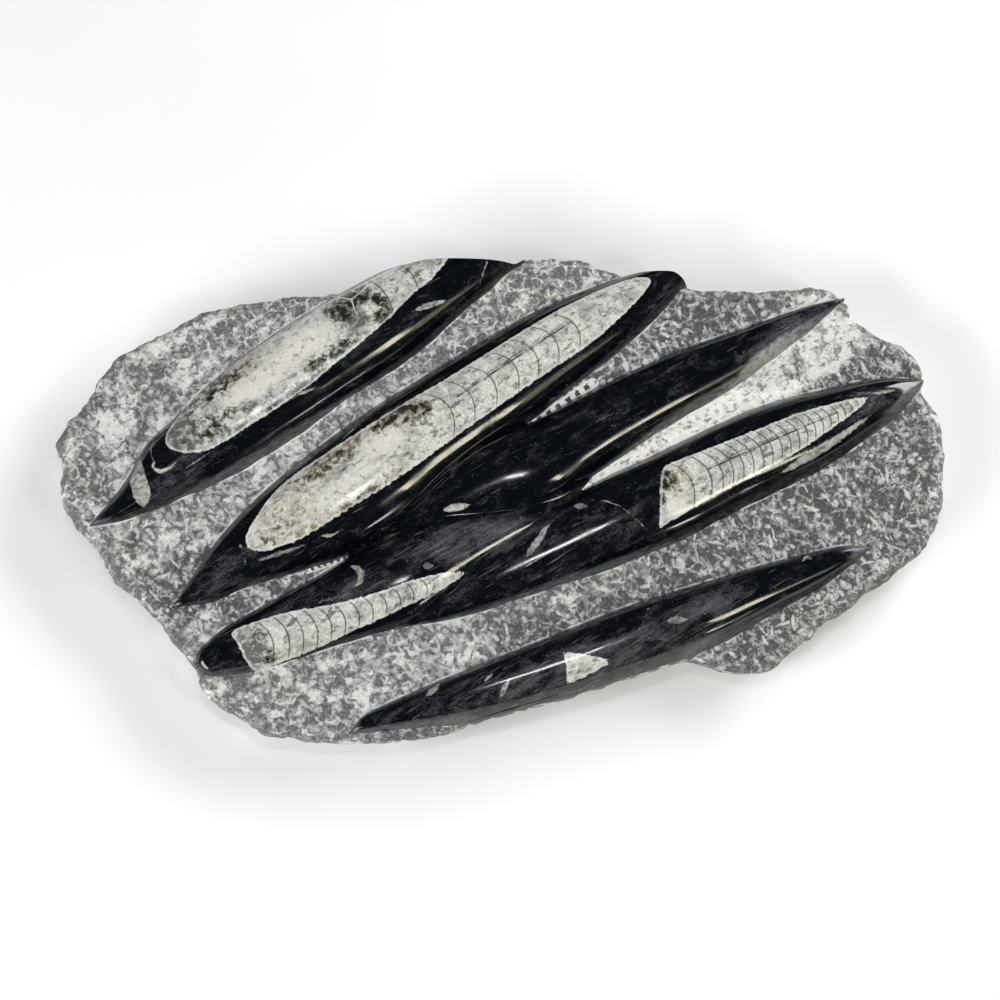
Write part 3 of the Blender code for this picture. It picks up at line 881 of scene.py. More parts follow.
def sliver_values(points):
    """How far inside a pale sliver each point lies, and how pale that sliver is.

    A sliver is widest a third of the way along and narrows to a point at both ends.
    """
    depth, tone = np.full(len(points), FAR_AWAY), np.zeros(len(points))
    for line, width, paleness, *blunt in SLIVERS:
        line = walk_line(line, 0.5)
        low, high = line.min(axis=0) - 6.0, line.max(axis=0) + 6.0
        index = np.flatnonzero(np.all((points > low) & (points < high), axis=1))
        share = nearest_in(tree_of(line), points[index])[0] / max(len(line) - 1, 1)
        taper = 1.0 - np.abs(2.0 * share ** 0.8 - 1.0) ** (blunt[0] if blunt else 2.2)
        inner = width / 2 * taper - gap_to_line(points[index], line)
        closer = inner > depth[index]
        depth[index[closer]] = inner[closer]
        tone[index[closer]] = paleness
    return {"sliver_depth": depth, "sliver_tone": tone}


class Carving:
    """The finished slab: its points, triangles and what is known at each of them."""

    def __init__(self, sizes):
        self.sizes = sizes
        self.edge = broken_edge(sizes.jag, step=0.8)
        self.relief = Relief(sizes, self.edge)
        self.carve_face()
        self.break_edge()
        self.saw_back()

    def carve_face(self):
        """The carved face: polished ridges in a chiselled field."""
        relief, sizes = self.relief, self.sizes
        plan = plan_face(relief)
        flat, faces = triangles_over(plan.points, plan.creases, len(self.edge))
        rim = relief.edge_distance(flat)
        level = relief.field(flat, rim)
        top = relief.tallest(flat)[1]

        centres = flat[faces].mean(axis=1)
        centre_owner, centre_top = relief.tallest(centres)
        region = np.where(centre_top > relief.field(centres), centre_owner + 1, 0)
        every = np.arange(len(flat))
        on_ridge = np.isin(every, faces[region > 0])
        on_field = np.isin(every, faces[region == 0])

        height = np.where(on_ridge, np.maximum(top, np.where(on_field, level, top)), level)
        feet = flat[on_ridge & on_field]
        foot = nearest_in(tree_of(feet), flat)[1]
        loose = np.flatnonzero(on_field & ~on_ridge)
        spots = flat[loose]
        bruise = np.zeros(len(flat))
        bruise[loose], depth = chisel(spots, tree_of(spots), sizes)
        mean_depth = 0.35
        grain = 0.16 * swell(spots, 2.4, 9.1) + 0.10 * swell(spots, 1.2, 5.7)
        broken = (1.0 - smooth_step(rim[loose], 1.0, 9.0)) * sizes.fracture
        grain += broken * (0.7 * swell(spots, 4.6, 7.3) + 0.3 * swell(spots, 2.0, 1.9))
        fade = smooth_step(foot[loose], 0.0, 1.1)
        height[loose] += fade * (grain + sizes.chisel_depth * (mean_depth - depth))

        self.vertices = np.column_stack((flat, height))
        self.faces = faces
        self.region = region
        self.values = {"bruise": bruise, "foot": foot, "rim": rim}
        names = [WORKED[index][-1] for index in style_at(flat)]
        for place, kind in enumerate(("blotched", "picked", "crazed")):
            known = np.array([STYLES[name][place - 3] for name in names])
            self.values[kind] = blurred(known, faces, passes=12)
        for known in (shell_values(flat), sliver_values(flat), ladder_values(flat)):
            self.values.update(known)
        for name, table in (("veil", VEILS_AND_SHEEN), ("ground", GROUND_AND_SHEEN), ("powder", POWDER)):
            self.values[name] = patches(flat, table)

    def break_edge(self):
        """The broken edge: rough rings from the rim down to the back."""
        edge, count = self.edge, len(self.edge)
        inward = inward_directions(edge, passes=300)
        soft = smooth_ring(edge, passes=60)
        rim_height = self.vertices[:count, 2]
        profile = ((0.0, 0.30, 0.62, 0.93, 1.0), (0.0, 0.5, 2.0, 4.7, self.sizes.undercut))
        ring = np.arange(count)
        self.wall_start = len(self.vertices)
        for row in range(1, WALL_ROWS + 1):
            depth = row / WALL_ROWS
            level = rim_height * (1.0 - depth)
            lumps = np.array([
                noise.noise(Vector((x / 6.0, y / 6.0, z / 4.5)))
                + 0.5 * noise.noise(Vector((x / 2.4, y / 2.4, z / 2.0 + 7.0)))
                for (x, y), z in zip(edge, level)])
            lumps = np.maximum(lumps, -0.25) * math.sin(math.pi * depth) ** 0.7
            inset = np.maximum(np.interp(depth, *profile) + 1.7 * lumps, 0.1)
            spot = edge + (soft - edge) * depth + inward * inset[:, None]
            start = len(self.vertices)
            self.vertices = np.vstack((self.vertices, np.column_stack((spot, level))))
            below = np.arange(start, start + count)
            self.faces = np.vstack((self.faces, band(ring, below)))
            ring = below
        self.region = np.append(self.region, np.zeros(2 * WALL_ROWS * count, dtype=int))
        self.last_ring = ring

    def saw_back(self):
        """The flat back."""
        ring = self.vertices[self.last_ring][:, :2]
        closest_to_edge = 2.5
        grid = staggered_grid(ring.min(axis=0), ring.max(axis=0), step=9.0)
        grid = grid[inside(grid, ring)]
        grid = grid[gap_to_line(grid, ring, closed=True) > closest_to_edge]
        flat, faces = triangles_over(np.vstack((ring, grid)), [], len(ring))
        start = self.last_ring[0]
        inner = flat[len(ring):]
        self.vertices = np.vstack((self.vertices, np.column_stack((inner, np.zeros(len(inner))))))
        self.faces = np.vstack((self.faces, faces[:, ::-1] + start))
        self.region = np.append(self.region, np.full(len(faces), -1))

    def ridge_normals(self):
        """The true normal at every corner of a polished face, and nothing elsewhere."""
        normals = np.zeros((len(self.faces), 3, 3))
        reach = 0.05
        for index, group in enumerate(GROUPS):
            own = np.flatnonzero(self.region == index + 1)
            used, back = np.unique(self.faces[own], return_inverse=True)
            spots = self.vertices[used][:, :2]
            slope = []
            for way in ((reach, 0.0), (0.0, reach)):
                above = self.relief.polished(group, spots + way)
                below = self.relief.polished(group, spots - way)
                slope.append((above - below) / (2 * reach))
            normal = np.column_stack((-slope[0], -slope[1], np.ones(len(used))))
            normal /= np.linalg.norm(normal, axis=1)[:, None]
            normals[own] = normal[back.reshape(-1, 3)]
        return normals.reshape(-1, 3)


def lay_out_bake(mesh, carving, corners):
    """A flat layout of the whole surface: carved face, back and the edge in strips."""
    back_share, back_at = 0.6, (0.0, 0.575)
    strips_at, strip_size, strip_pitch = (0.62, 0.58), (0.37, 0.046), 0.052
    low, high = corners.min(axis=0), corners.max(axis=0)
    places = (corners[:, :2] - low[:2]) / (high[0] - low[0])
    spots = places[carving.faces]
    back = carving.region < 0
    spots[back] = spots[back] * back_share + back_at
    wall = np.flatnonzero((np.max(carving.faces, axis=1) >= carving.wall_start) & ~back)
    count = len(carving.edge)
    faces = carving.faces[wall]
    row = np.where(faces < count, 0, (faces - carving.wall_start) // count + 1)
    column = np.where(faces < count, faces, (faces - carving.wall_start) % count).astype(float)
    wrapped = column.max(axis=1) - column.min(axis=1) > count / 2
    column[wrapped] = np.where(column[wrapped] < count / 2, column[wrapped] + count,
                               column[wrapped])
    strip_length = count / WALL_STRIPS
    strip = np.floor(column.min(axis=1) / strip_length).clip(0, WALL_STRIPS - 1)
    along = column / strip_length - strip[:, None]
    spots[wall, :, 0] = strips_at[0] + strip_size[0] * along
    rise = strip_size[1] * (1.0 - row / WALL_ROWS)
    spots[wall, :, 1] = strips_at[1] + strip_pitch * strip[:, None] + rise
    layer = mesh.uv_layers.new(name="OFBake")
    layer.uv.foreach_set("vector", spots.reshape(-1))


def make_slab(carving):
    """The mesh object of the slab."""
    middle = (np.max(OUTLINE, axis=0) + np.min(OUTLINE, axis=0)) / 2
    corners = (carving.vertices - (middle[0], middle[1], 0.0)) * MILLIMETRE
    mesh = bpy.data.meshes.new("carved slab")
    mesh.from_pydata(corners.tolist(), [], carving.faces.tolist())
    mesh.shade_smooth()
    elsewhere = {"shell_rim": FAR_AWAY, "sliver_depth": FAR_AWAY, "blotched": 0.2,
                 "ladder_side": -FAR_AWAY}
    for name, known in carving.values.items():
        whole = np.full(len(corners), elsewhere.get(name, 0.0))
        whole[:len(known)] = known
        mesh.attributes.new(name, "FLOAT", "POINT").data.foreach_set("value", whole)
    region = carving.region
    finish = np.where(region > 0, 0, np.where(region == 0, 1, 2))
    mesh.polygons.foreach_set("material_index", finish.astype(np.int32))
    lay_out_bake(mesh, carving, corners)

    edge_of = np.empty(len(mesh.loops), dtype=np.int32)
    mesh.loops.foreach_get("edge_index", edge_of)
    none_yet = 99
    lowest, highest = np.full(len(mesh.edges), none_yet), np.full(len(mesh.edges), -none_yet)
    by_corner = np.repeat(region, 3)
    np.minimum.at(lowest, edge_of, by_corner)
    np.maximum.at(highest, edge_of, by_corner)
    sharp = mesh.attributes.new("sharp_edge", "BOOLEAN", "EDGE")
    sharp.data.foreach_set("value", lowest != highest)
    mesh.normals_split_custom_set(carving.ridge_normals().tolist())
    slab = bpy.data.objects.new("carved_slab", mesh)
    bpy.context.scene.collection.objects.link(slab)
    return slab


# ---------------------------------------------------------------------------------------------
# Finishes

class Value:
    """An output of a node, which can be reckoned with like a number."""

    def __init__(self, graph, socket):
        self.graph = graph
        self.socket = socket

    def __add__(self, other):
        return self.graph.math("ADD", self, other)

    def __sub__(self, other):
        return self.graph.math("SUBTRACT", self, other)

    def __rsub__(self, other):
        return self.graph.math("SUBTRACT", other, self)

    def __mul__(self, other):
        return self.graph.math("MULTIPLY", self, other)

    def __truediv__(self, other):
        return self.graph.math("DIVIDE", self, other)

    def __rtruediv__(self, other):
        return self.graph.math("DIVIDE", other, self)

    def __abs__(self):
        return self.graph.math("ABSOLUTE", self)

    def fade(self, low, high, start=0, end=1):
        """A soft step from start to end while the value goes from low to high."""
        made = self.graph.node("ShaderNodeMapRange", interpolation_type="SMOOTHSTEP")
        self.graph.fill(made, Value=self, From_Min=low, From_Max=high, To_Min=start, To_Max=end)
        return Value(self.graph, made.outputs[0])


class Graph:
    """A node tree, with short ways to add nodes to it and join them."""

    def __init__(self, tree):
        self.tree = tree
        self.places = {}

    def node(self, kind, **settings):
        """A new node with its settings."""
        made = self.tree.nodes.new(kind)
        for name, value in settings.items():
            setattr(made, name, value)
        return made

    def join(self, value, socket):
        """Link an output to a socket, or set the socket to a plain value."""
        if isinstance(value, Value):
            self.tree.links.new(value.socket, socket)
        else:
            socket.default_value = value

    def fill(self, node, **values):
        """Join values to the inputs of those names."""
        for name, value in values.items():
            self.join(value, node.inputs[name.replace("_", " ")])

    def results(self, node):
        """The outputs of a node by name."""
        return {socket.name: Value(self, socket) for socket in node.outputs}

    def simple(self, kind, operation, values):
        """The result of a node that takes its values in order."""
        made = self.node(kind, operation=operation)
        for value, socket in zip(values, made.inputs):
            self.join(value, socket)
        return Value(self, made.outputs[0])

    def math(self, operation, *values):
        """A Math node."""
        return self.simple("ShaderNodeMath", operation, values)

    def vector(self, operation, *values):
        """A Vector Math node."""
        return self.simple("ShaderNodeVectorMath", operation, values)

    def parts(self, vector):
        """The three parts of a vector or colour."""
        made = self.node("ShaderNodeSeparateXYZ")
        self.join(vector, made.inputs[0])
        return self.results(made).values()

    def most(self, first, *others):
        """The greatest of several values."""
        for other in others:
            first = self.math("MAXIMUM", first, other)
        return first

    def blend(self, share, first, second, mode="MIX"):
        """A mix of two colours."""
        made = self.node("ShaderNodeMix", data_type="RGBA", blend_type=mode)
        for value, place in ((share, 0), (first, 6), (second, 7)):
            self.join(value, made.inputs[place])
        return Value(self, made.outputs[2])

    def tint(self, colour, tone, share=1):
        """A colour multiplied by a tone."""
        return self.blend(share, colour, tone, "MULTIPLY")

    def known(self, name):
        """A value kept on the mesh."""
        return self.results(self.node("ShaderNodeAttribute", attribute_name=name))["Fac"]

    def place(self, stretch=(1, 1, 1), turn=0, shift=(0, 0)):
        """Object coordinates in millimetres, stretched and turned about the vertical."""
        if (stretch, turn, shift) not in self.places:
            mapping = self.node("ShaderNodeMapping", vector_type="TEXTURE")
            self.fill(mapping, Vector=self.results(self.node("ShaderNodeTexCoord"))["Object"],
                      Location=[MILLIMETRE * part for part in (*shift, 0)],
                      Rotation=(0, 0, math.radians(turn)),
                      Scale=[MILLIMETRE * part for part in stretch])
            self.places[stretch, turn, shift] = Value(self, mapping.outputs[0])
        return self.places[stretch, turn, shift]

    def noise(self, scale, detail=2, roughness=0.5, distortion=0, **place):
        """Noise with a given number of lumps to a millimetre."""
        made = self.node("ShaderNodeTexNoise")
        self.fill(made, Vector=self.place(**place), Scale=scale, Detail=detail,
                  Roughness=roughness, Distortion=distortion)
        return self.results(made)["Fac"]

    def bent(self, place, scale, amount):
        """A place pushed about by coarse noise."""
        made = self.node("ShaderNodeTexNoise")
        self.fill(made, Vector=place, Scale=scale)
        push = self.results(made)["Color"]
        return self.vector("MULTIPLY_ADD", push, (amount, amount, 0), place)

    def cells(self, place, scale, feature="F1"):
        """The results of a flat pattern of cells."""
        made = self.node("ShaderNodeTexVoronoi", voronoi_dimensions="2D", feature=feature)
        self.fill(made, Vector=place, Scale=scale)
        return self.results(made)

    def bump(self, height, distance, strength):
        """The normal of a slightly raised surface."""
        made = self.node("ShaderNodeBump")
        self.fill(made, Height=height, Distance=distance * MILLIMETRE, Strength=strength)
        return Value(self, made.outputs[0])

    def use(self, group, **inputs):
        """The results of a shader group, given its inputs."""
        made = self.node("ShaderNodeGroup")
        made.node_tree = group
        self.fill(made, **inputs)
        return self.results(made)


def new_group(name, inputs, outputs):
    """An empty shader group with named inputs and outputs: its graph, inputs and last node.

    Each input is given by its value and each output by its kind.
    """
    group = bpy.data.node_groups.new(name, "ShaderNodeTree")
    for label, value in inputs.items():
        kind = "NodeSocketColor" if isinstance(value, tuple) else "NodeSocketFloat"
        group.interface.new_socket(label, in_out="INPUT", socket_type=kind).default_value = value
    for label, kind in outputs.items():
        group.interface.new_socket(label, in_out="OUTPUT", socket_type=kind)
    graph = Graph(group)
    given = graph.results(graph.node("NodeGroupInput"))
    return graph, given, graph.node("NodeGroupOutput")


def calcite_group():
    """Shell and vein calcite: a pale colour with grey clouds, grains and dark flecks."""
    graph, given, put = new_group(
        "Calcite", {"Colour": (0.6, 0.57, 0.5, 1), "Cloud Size": 5, "Clouds": 0.5, "Flecks": 0.2},
        {"Colour": "NodeSocketColor"})
    flecks = given["Flecks"]
    cloud = graph.noise(1 / given["Cloud Size"], 5, 0.66, 0.6).fade(0.36, 0.58)
    grain = graph.noise(1.5, 4, 0.7).fade(0.3, 0.7, -0.2, 0.16)
    level = (cloud - 1) * given["Clouds"] + 1.06
    level = level * (grain * flecks.fade(0, 0.6, 0.3, 1) + 0.98)
    colour = graph.tint(given["Colour"], level)
    speck = graph.noise(0.5, 4, 0.6, 0.3, stretch=(2, 1, 1), turn=34, shift=(31, 7))
    dark = (speck - flecks.fade(0, 1, 0.76, 0.5)).fade(-0.05, 0.07)
    graph.fill(put, Colour=graph.blend(dark, colour, graph.tint(colour, (0.33, 0.33, 0.33, 1))))
    return graph.tree


def strokes_group():
    """Short strokes strewn over the surface, each turned its own way."""
    graph, given, put = new_group(
        "Strewn Strokes",
        {"Spacing": 4, "Length": 2, "Width": 0.4, "Heading": -60, "Spread": 60, "Offset": 0},
        {"Mask": "NodeSocketFloat"})
    place = graph.bent(graph.vector("ADD", graph.place(), given["Offset"]), 0.35, 1.6)
    cells = graph.cells(place, 1 / given["Spacing"])
    heading, size, strength = graph.parts(cells["Color"])
    x, y, _ = graph.parts(graph.vector("SUBTRACT", place, cells["Position"]))
    turn = (heading - 0.5) * (given["Spread"] * 2) + given["Heading"]
    turn = graph.math("RADIANS", turn)
    cos, sin = graph.math("COSINE", turn), graph.math("SINE", turn)
    size = size * 0.9 + 0.45
    along = (x * cos + y * sin) / (given["Length"] * size)
    across = (y * cos - x * sin) / (given["Width"] * size)
    reach = along * along + across * across
    graph.fill(put, Mask=reach.fade(0.05, 1.3, 1, 0) * strength.fade(0.25, 0.95))
    return graph.tree


def bruised_group(strokes):
    """Chiselled limestone: dark stone, blotched and struck pale by the tool."""
    graph, given, put = new_group(
        "Bruised Limestone",
        {"Stone": (0.11, 0.11, 0.115, 1), "Bruise": (0.6, 0.59, 0.56, 1), "Struck": 0,
         "Blotched": 0.5, "Picked": 0.5, "Crazed": 0},
        {"Colour": "NodeSocketColor", "Mask": "NodeSocketFloat", "Height": "NodeSocketFloat"})
    marks = 0
    for spacing, length, width, heading, spread, offset in (
            (4.4, 2.6, 0.8, -62, 34, 13), (6, 3.6, 0.6, -50, 75, 77), (3.8, 1.3, 1, 30, 90, 151)):
        layer = graph.use(strokes, Spacing=spacing, Length=length, Width=width,
                          Heading=heading, Spread=spread, Offset=offset)
        marks = graph.most(marks, layer["Mask"])
    fine = graph.noise(0.95, 4, 0.78, 0.3)
    wide = graph.noise(0.11, 3, shift=(11, 5))
    patch = graph.noise(0.34, 5, 0.62, 0.7, shift=(93, 35))
    patch = (wide - 0.5) * 0.7 + patch + given["Blotched"] * 0.24
    patch = patch.fade(0.54, 0.8, 0, 0.9)

    cells = graph.cells(graph.bent(graph.place(), 0.4, 5), 0.19, "DISTANCE_TO_EDGE")
    swelling = graph.noise(0.5, 3, 0.6, shift=(61, 7))
    veins = ((swelling - 0.5) * -0.45 + cells["Distance"]).fade(0, 0.16, 1, 0)
    kept = graph.noise(0.2, shift=(47, 81)).fade(0.36, 0.56)
    veins = veins * kept * given["Crazed"]

    level = graph.most(patch, marks * given["Picked"], veins * 0.9, given["Struck"] * 0.6)
    level = level + given["Picked"].fade(0.55, 0.74, 0, -0.12) + (fine - 0.48) * 1.5
    mask = level.fade(-0.2, 1.05)
    grain = graph.noise(1.9, 3, 0.7, shift=(71, 3))
    tone = graph.blend(mask, given["Stone"], given["Bruise"])
    graph.fill(put, Colour=graph.tint(tone, grain.fade(0.28, 0.72, 0.78, 1.2)), Mask=mask,
               Height=fine * 0.9 + mask * 0.5 + grain * 0.35)
    return graph.tree


def new_finish(name):
    """A material with a graph and its surface shader."""
    material = bpy.data.materials.new(name)
    material.use_nodes = True
    tree = material.node_tree
    return material, Graph(tree), tree.nodes["Principled BSDF"]


def black_stone(graph, colours):
    """The colour of the polished limestone: black, with grey veils, specks and fine grazes. Some of the
    veils are a painted sheen.
    """
    # Grey veils, in places a painted sheen
    hazy_and_sheen = graph.known("veil")
    haze = graph.noise(0.2, 6, 0.66, 0.7, stretch=(1.6, 1, 1), turn=30, shift=(3, 9))
    wisps = graph.noise(0.6, 4, 0.6, stretch=(9, 1.3, 3), turn=30)
    dust = graph.noise(1.35, 4, 0.75)
    veil = wisps * 0.35 + haze * 0.65 + (dust - 0.5) * 0.45 + hazy_and_sheen * 0.2
    black = graph.blend(veil.fade(0.5, 0.86), colours.limestone, colours.limestone_veil)
    specks = graph.noise(1.5, 3, 0.6) + hazy_and_sheen * 0.05
    black = graph.blend(specks.fade(0.69, 0.76), black, (0.26, 0.26, 0.26, 1))
    grazes = graph.noise(0.9, 3, 0.65, stretch=(16, 0.7, 2), turn=31, shift=(9, 2)) + hazy_and_sheen * 0.09
    return graph.blend(grazes.fade(0.64, 0.76, 0, 0.6), black, (0.17, 0.17, 0.18, 1))


def shell_stone(graph, colours, calcite):
    """The colour of the shells: calcite, smooth and cream where it is clean, else mottled."""
    clean = graph.known("stain_clean")
    rough = graph.use(calcite, Colour=colours.calcite, Cloud_Size=5.5, Clouds=0.42, Flecks=0.62)
    smooth = graph.use(calcite, Colour=colours.calcite_cream, Cloud_Size=9, Clouds=0.1, Flecks=0)
    colour = graph.blend(clean, rough["Colour"], smooth["Colour"])
    mottle = graph.noise(0.36, 5, 0.67, 0.35, shift=(5, 17)).fade(0.3, 0.7, 0.22, 0.78)
    rest = 1 - clean * 0.8
    for kind, start, light, dark in (
            ("tan", 0.5, colours.stain_tan, (0.22, 0.195, 0.15, 1)),
            ("grey", 0.5, (0.33, 0.33, 0.31, 1), (0.12, 0.12, 0.11, 1)),
            ("brown", 0.52, colours.stain_brown, (0.016, 0.014, 0.012, 1))):
        reach = graph.known("stain_" + kind) * rest * 0.5 + mottle
        colour = graph.blend(reach.fade(start + 0.12, start + 0.42, 0, 0.9), colour, light)
        colour = graph.blend(reach.fade(start + 0.32, start + 0.54, 0, 0.95), colour, dark)
    crumbs = graph.noise(1.1, 5, 0.75, shift=(3, 63)).fade(0.34, 0.66, 0.76, 1.16)
    return graph.tint(colour, crumbs, 1 - clean * 0.7)


def shell_lines(graph, wobble):
    """How clear the lines in the shells are: the septa and the siphuncle that runs through them."""
    chamber = graph.math("FRACT", graph.known("shell_chamber") + 0.5)
    away = abs(chamber - 0.5) * graph.known("shell_pitch") + wobble * 0.25
    tube = graph.known("shell_tube") + wobble * 0.4
    siphuncle = graph.most(abs(tube).fade(0.18, 0.55, 0.95, 0),
                           abs(tube - 0.95).fade(0.08, 0.34, 0.45, 0))
    worn = graph.noise(0.22).fade(0.36, 0.58, 0.45, 1)
    knot = (abs(tube) + away * 0.8).fade(0.45, 1, 0.8, 0)
    return graph.most(away.fade(0.1, 0.38, 0.85, 0), siphuncle * worn, knot)


def ground_flank_and_sheen(graph, colours):
    """Where a flank was ground but not polished, its grey partly a painted reflection, and its colour
    there.
    """
    streaks = graph.noise(0.5, 4, 0.6, stretch=(6, 0.9, 2), turn=33)
    reach = graph.known("foot") - graph.known("ground") + (streaks - 0.5) * 4
    # Paler streaks in the grey band, partly painted reflection
    pale_streaks = graph.noise(1.1, 4, 0.7, stretch=(3, 0.8, 1), turn=33).fade(0.35, 0.68)
    tone = graph.blend(pale_streaks, colours.ground, colours.ground_pale)
    powdered = graph.noise(0.5, 5, 0.7, 0.5, shift=(13, 57)) + graph.known("powder") * 0.34
    tone = graph.blend(powdered.fade(0.58, 0.94, 0, 0.9), tone, (0.36, 0.352, 0.325, 1))
    return reach.fade(-1.2, 1.2, 0.92, 0), tone


def polished_finish(colours, calcite):
    """Polished ridges: black limestone and the calcite shells in it."""
    material, graph, shader = new_finish("polished orthoceras limestone")
    wobble = (graph.noise(1.6, 3, 0.6) - 0.5) * 0.9
    ragged = graph.noise(0.55, 3, 0.6) - 0.5
    lines = shell_lines(graph, wobble)
    colour = graph.blend(lines, shell_stone(graph, colours, calcite), colours.septum)
    rim = graph.known("shell_rim") + ragged * 1.3 + wobble * 0.9
    wall = rim.fade(0, 0.2) * rim.fade(0.45, 1.1, 1, 0)
    colour = graph.blend(wall * 0.5, colour, (0.68, 0.67, 0.63, 1))
    in_shell = rim.fade(-0.12, 0.12)

    inner, paleness = graph.known("sliver_depth"), graph.known("sliver_tone")
    healed = inner.fade(-0.12, 0.1) * paleness.fade(0.96, 0.99, 0, 0.85)
    colour = graph.blend(healed, colour, colours.calcite_cream)
    sliver = (inner + ragged * 1.5 + wobble * 0.3).fade(-0.2, 0.3)
    pale = graph.use(calcite, Colour=(0.56, 0.55, 0.5, 1), Cloud_Size=2.4, Clouds=0.6, Flecks=0.6)
    tone = graph.blend(paleness, (0.04, 0.04, 0.045, 1), pale["Colour"])

    around = graph.blend(sliver, black_stone(graph, colours), tone)
    # Grey foot bands: matte grinding, and partly a painted reflection of the polished flank
    ground, ground_and_sheen_tone = ground_flank_and_sheen(graph, colours)
    around = graph.blend(ground, around, ground_and_sheen_tone)
    scuff = graph.noise(0.12, 4, 0.6).fade(0.35, 0.75, colours.gloss, colours.gloss + 0.07)
    scratches = graph.noise(1, 3, 0.7, stretch=(14, 0.5, 1), turn=34)
    graph.fill(shader, Base_Color=graph.blend(in_shell, around, colour),
               Roughness=scuff + in_shell * 0.05 + ground * (1 - in_shell) * 0.4,
               Normal=graph.bump(scratches * 0.4 + lines * -0.8, 0.02, 0.5), IOR=1.52)
    return material


def chiselled_finish(colours, bruised):
    """The rough field and the broken edge."""
    material, graph, shader = new_finish("chiselled limestone")
    # Fewer pale marks, so darker stone, within about 6 mm of the broken edge and on the edge itself
    calm = graph.known("rim").fade(0.3, 6, 0.45, 1)
    hem = graph.noise(0.07, shift=(7, 29)).fade(0.4, 0.62)
    hem = graph.known("foot").fade(0.2, 1, 1.1, 0) * hem
    blotched, picked = graph.known("blotched"), graph.known("picked")
    darker = [0.72 * part for part in colours.chiselled]
    stone = graph.blend(picked.fade(0.55, 0.8), colours.chiselled, darker)
    field = graph.use(bruised, Stone=stone, Bruise=colours.bruise,
                      Struck=graph.known("bruise") * calm, Blotched=(blotched + hem) * calm,
                      Picked=picked * calm, Crazed=graph.known("crazed"))
    warm = graph.noise(0.05, 3, 0.6, shift=(19, 43)).fade(0.52, 0.68) * 0.5
    colour = field["Colour"]
    colour = graph.blend(warm, colour, graph.tint(colour, (1.05, 0.98, 0.91, 1)))
    colour = graph.tint(colour, (1.2, 1.19, 1.16, 1), blotched.fade(1.1, 1.35))
    crumbs = graph.noise(0.48, 4, 0.66, stretch=(1.5, 1, 1), turn=31, shift=(17, 3))
    crumbs = crumbs.fade(0.54, 0.64, 0, 0.8) * blotched.fade(0.75, 1.05)
    colour = graph.blend(crumbs, colour, (0.155, 0.14, 0.118, 1))

    rough = graph.noise(0.6, 3, 0.6) - 0.5
    side = abs(graph.known("ladder_side")) + rough * 1.1
    chamber = graph.math("FRACT", graph.known("ladder_chamber") + rough * 0.9)
    void = graph.most(abs(chamber - 0.5) * 2, side * 0.75)
    clear = graph.known("ladder_clear")
    colour = graph.blend(side.fade(0.9, 1.25, 0.95, 0) * clear, colour, colours.bruise)
    colour = graph.blend(void.fade(0.32, 0.56, 0.97, 0) * clear, colour, (0.01, 0.01, 0.012, 1))
    graph.fill(shader, Base_Color=colour, Roughness=field["Mask"].fade(0, 1, 0.62, 0.85),
               Normal=graph.bump(field["Height"], 0.45, 0.8))
    return material


def sawn_finish(colours, bruised):
    """The sawn back: dull grey with the faint arcs of the blade."""
    material, graph, shader = new_finish("sawn limestone")
    stone = graph.use(bruised, Stone=colours.sawn, Bruise=(0.3, 0.3, 0.29, 1), Struck=0,
                      Blotched=0.1, Picked=0, Crazed=0)
    blade = graph.node("ShaderNodeTexWave", wave_type="RINGS", rings_direction="Z")
    graph.fill(blade, Vector=graph.place(shift=(260, -340)), Scale=0.16, Distortion=1.2, Detail=3)
    arcs = graph.results(blade)["Fac"]
    graph.fill(shader, Base_Color=graph.tint(stone["Colour"], arcs.fade(0, 1, 0.86, 1.06)),
               Roughness=0.72, Normal=graph.bump(stone["Height"] + arcs * 0.5, 0.12, 0.6))
    return material


def floor_finish(colour):
    """The plain floor."""
    material, graph, shader = new_finish("studio floor")
    tone = graph.noise(0.01).fade(0.2, 0.8, 0.97, 1)
    graph.fill(shader, Base_Color=graph.blend(tone, (0, 0, 0, 1), colour), Roughness=0.9,
               Specular_IOR_Level=0.1)
    return material


# ---------------------------------------------------------------------------------------------
# Settings

def length_property(name, description, default):
    """A length, shown in the scene's units."""
    return FloatProperty(name=name, description=description, default=default, min=0.0,
                         precision=5, unit="LENGTH")


class FossilSizes(bpy.types.PropertyGroup):
    """Sizes of the slab and its mesh."""

    field_height: length_property("Field Height", "Chiselled stone above the sawn back", 0.019)
    shoulder: length_property("Shoulder", "Radius of the worn shoulder along the edge", 0.0045)
    undercut: length_property("Undercut", "How far the broken edge slopes in", 0.0055)
    polish_waver: length_property("Polish Waver", "Unevenness of the hand polish", 0.00012)
    chisel_depth: length_property("Chisel Depth", "Depth of one stroke in the field", 0.00042)
    fracture: length_property("Fracture", "Height of the breaks close to the edge", 0.0005)
    jag: length_property("Jag", "Size of the jags in the edge", 0.0009)
    field_grain: length_property("Field Mesh", "Spacing of the points in the field", 0.00066)
    ridge_grain: length_property("Ridge Mesh", "Spacing of the points on the ridges", 0.0011)
    seed: IntProperty(name="Seed", description="Which set of chisel strokes", default=11)


def colour_property(name, description, default):
    """A colour that shows as a swatch."""
    return FloatVectorProperty(name=name, description=description, subtype="COLOR", size=4,
                               min=0.0, max=1.0, default=default)


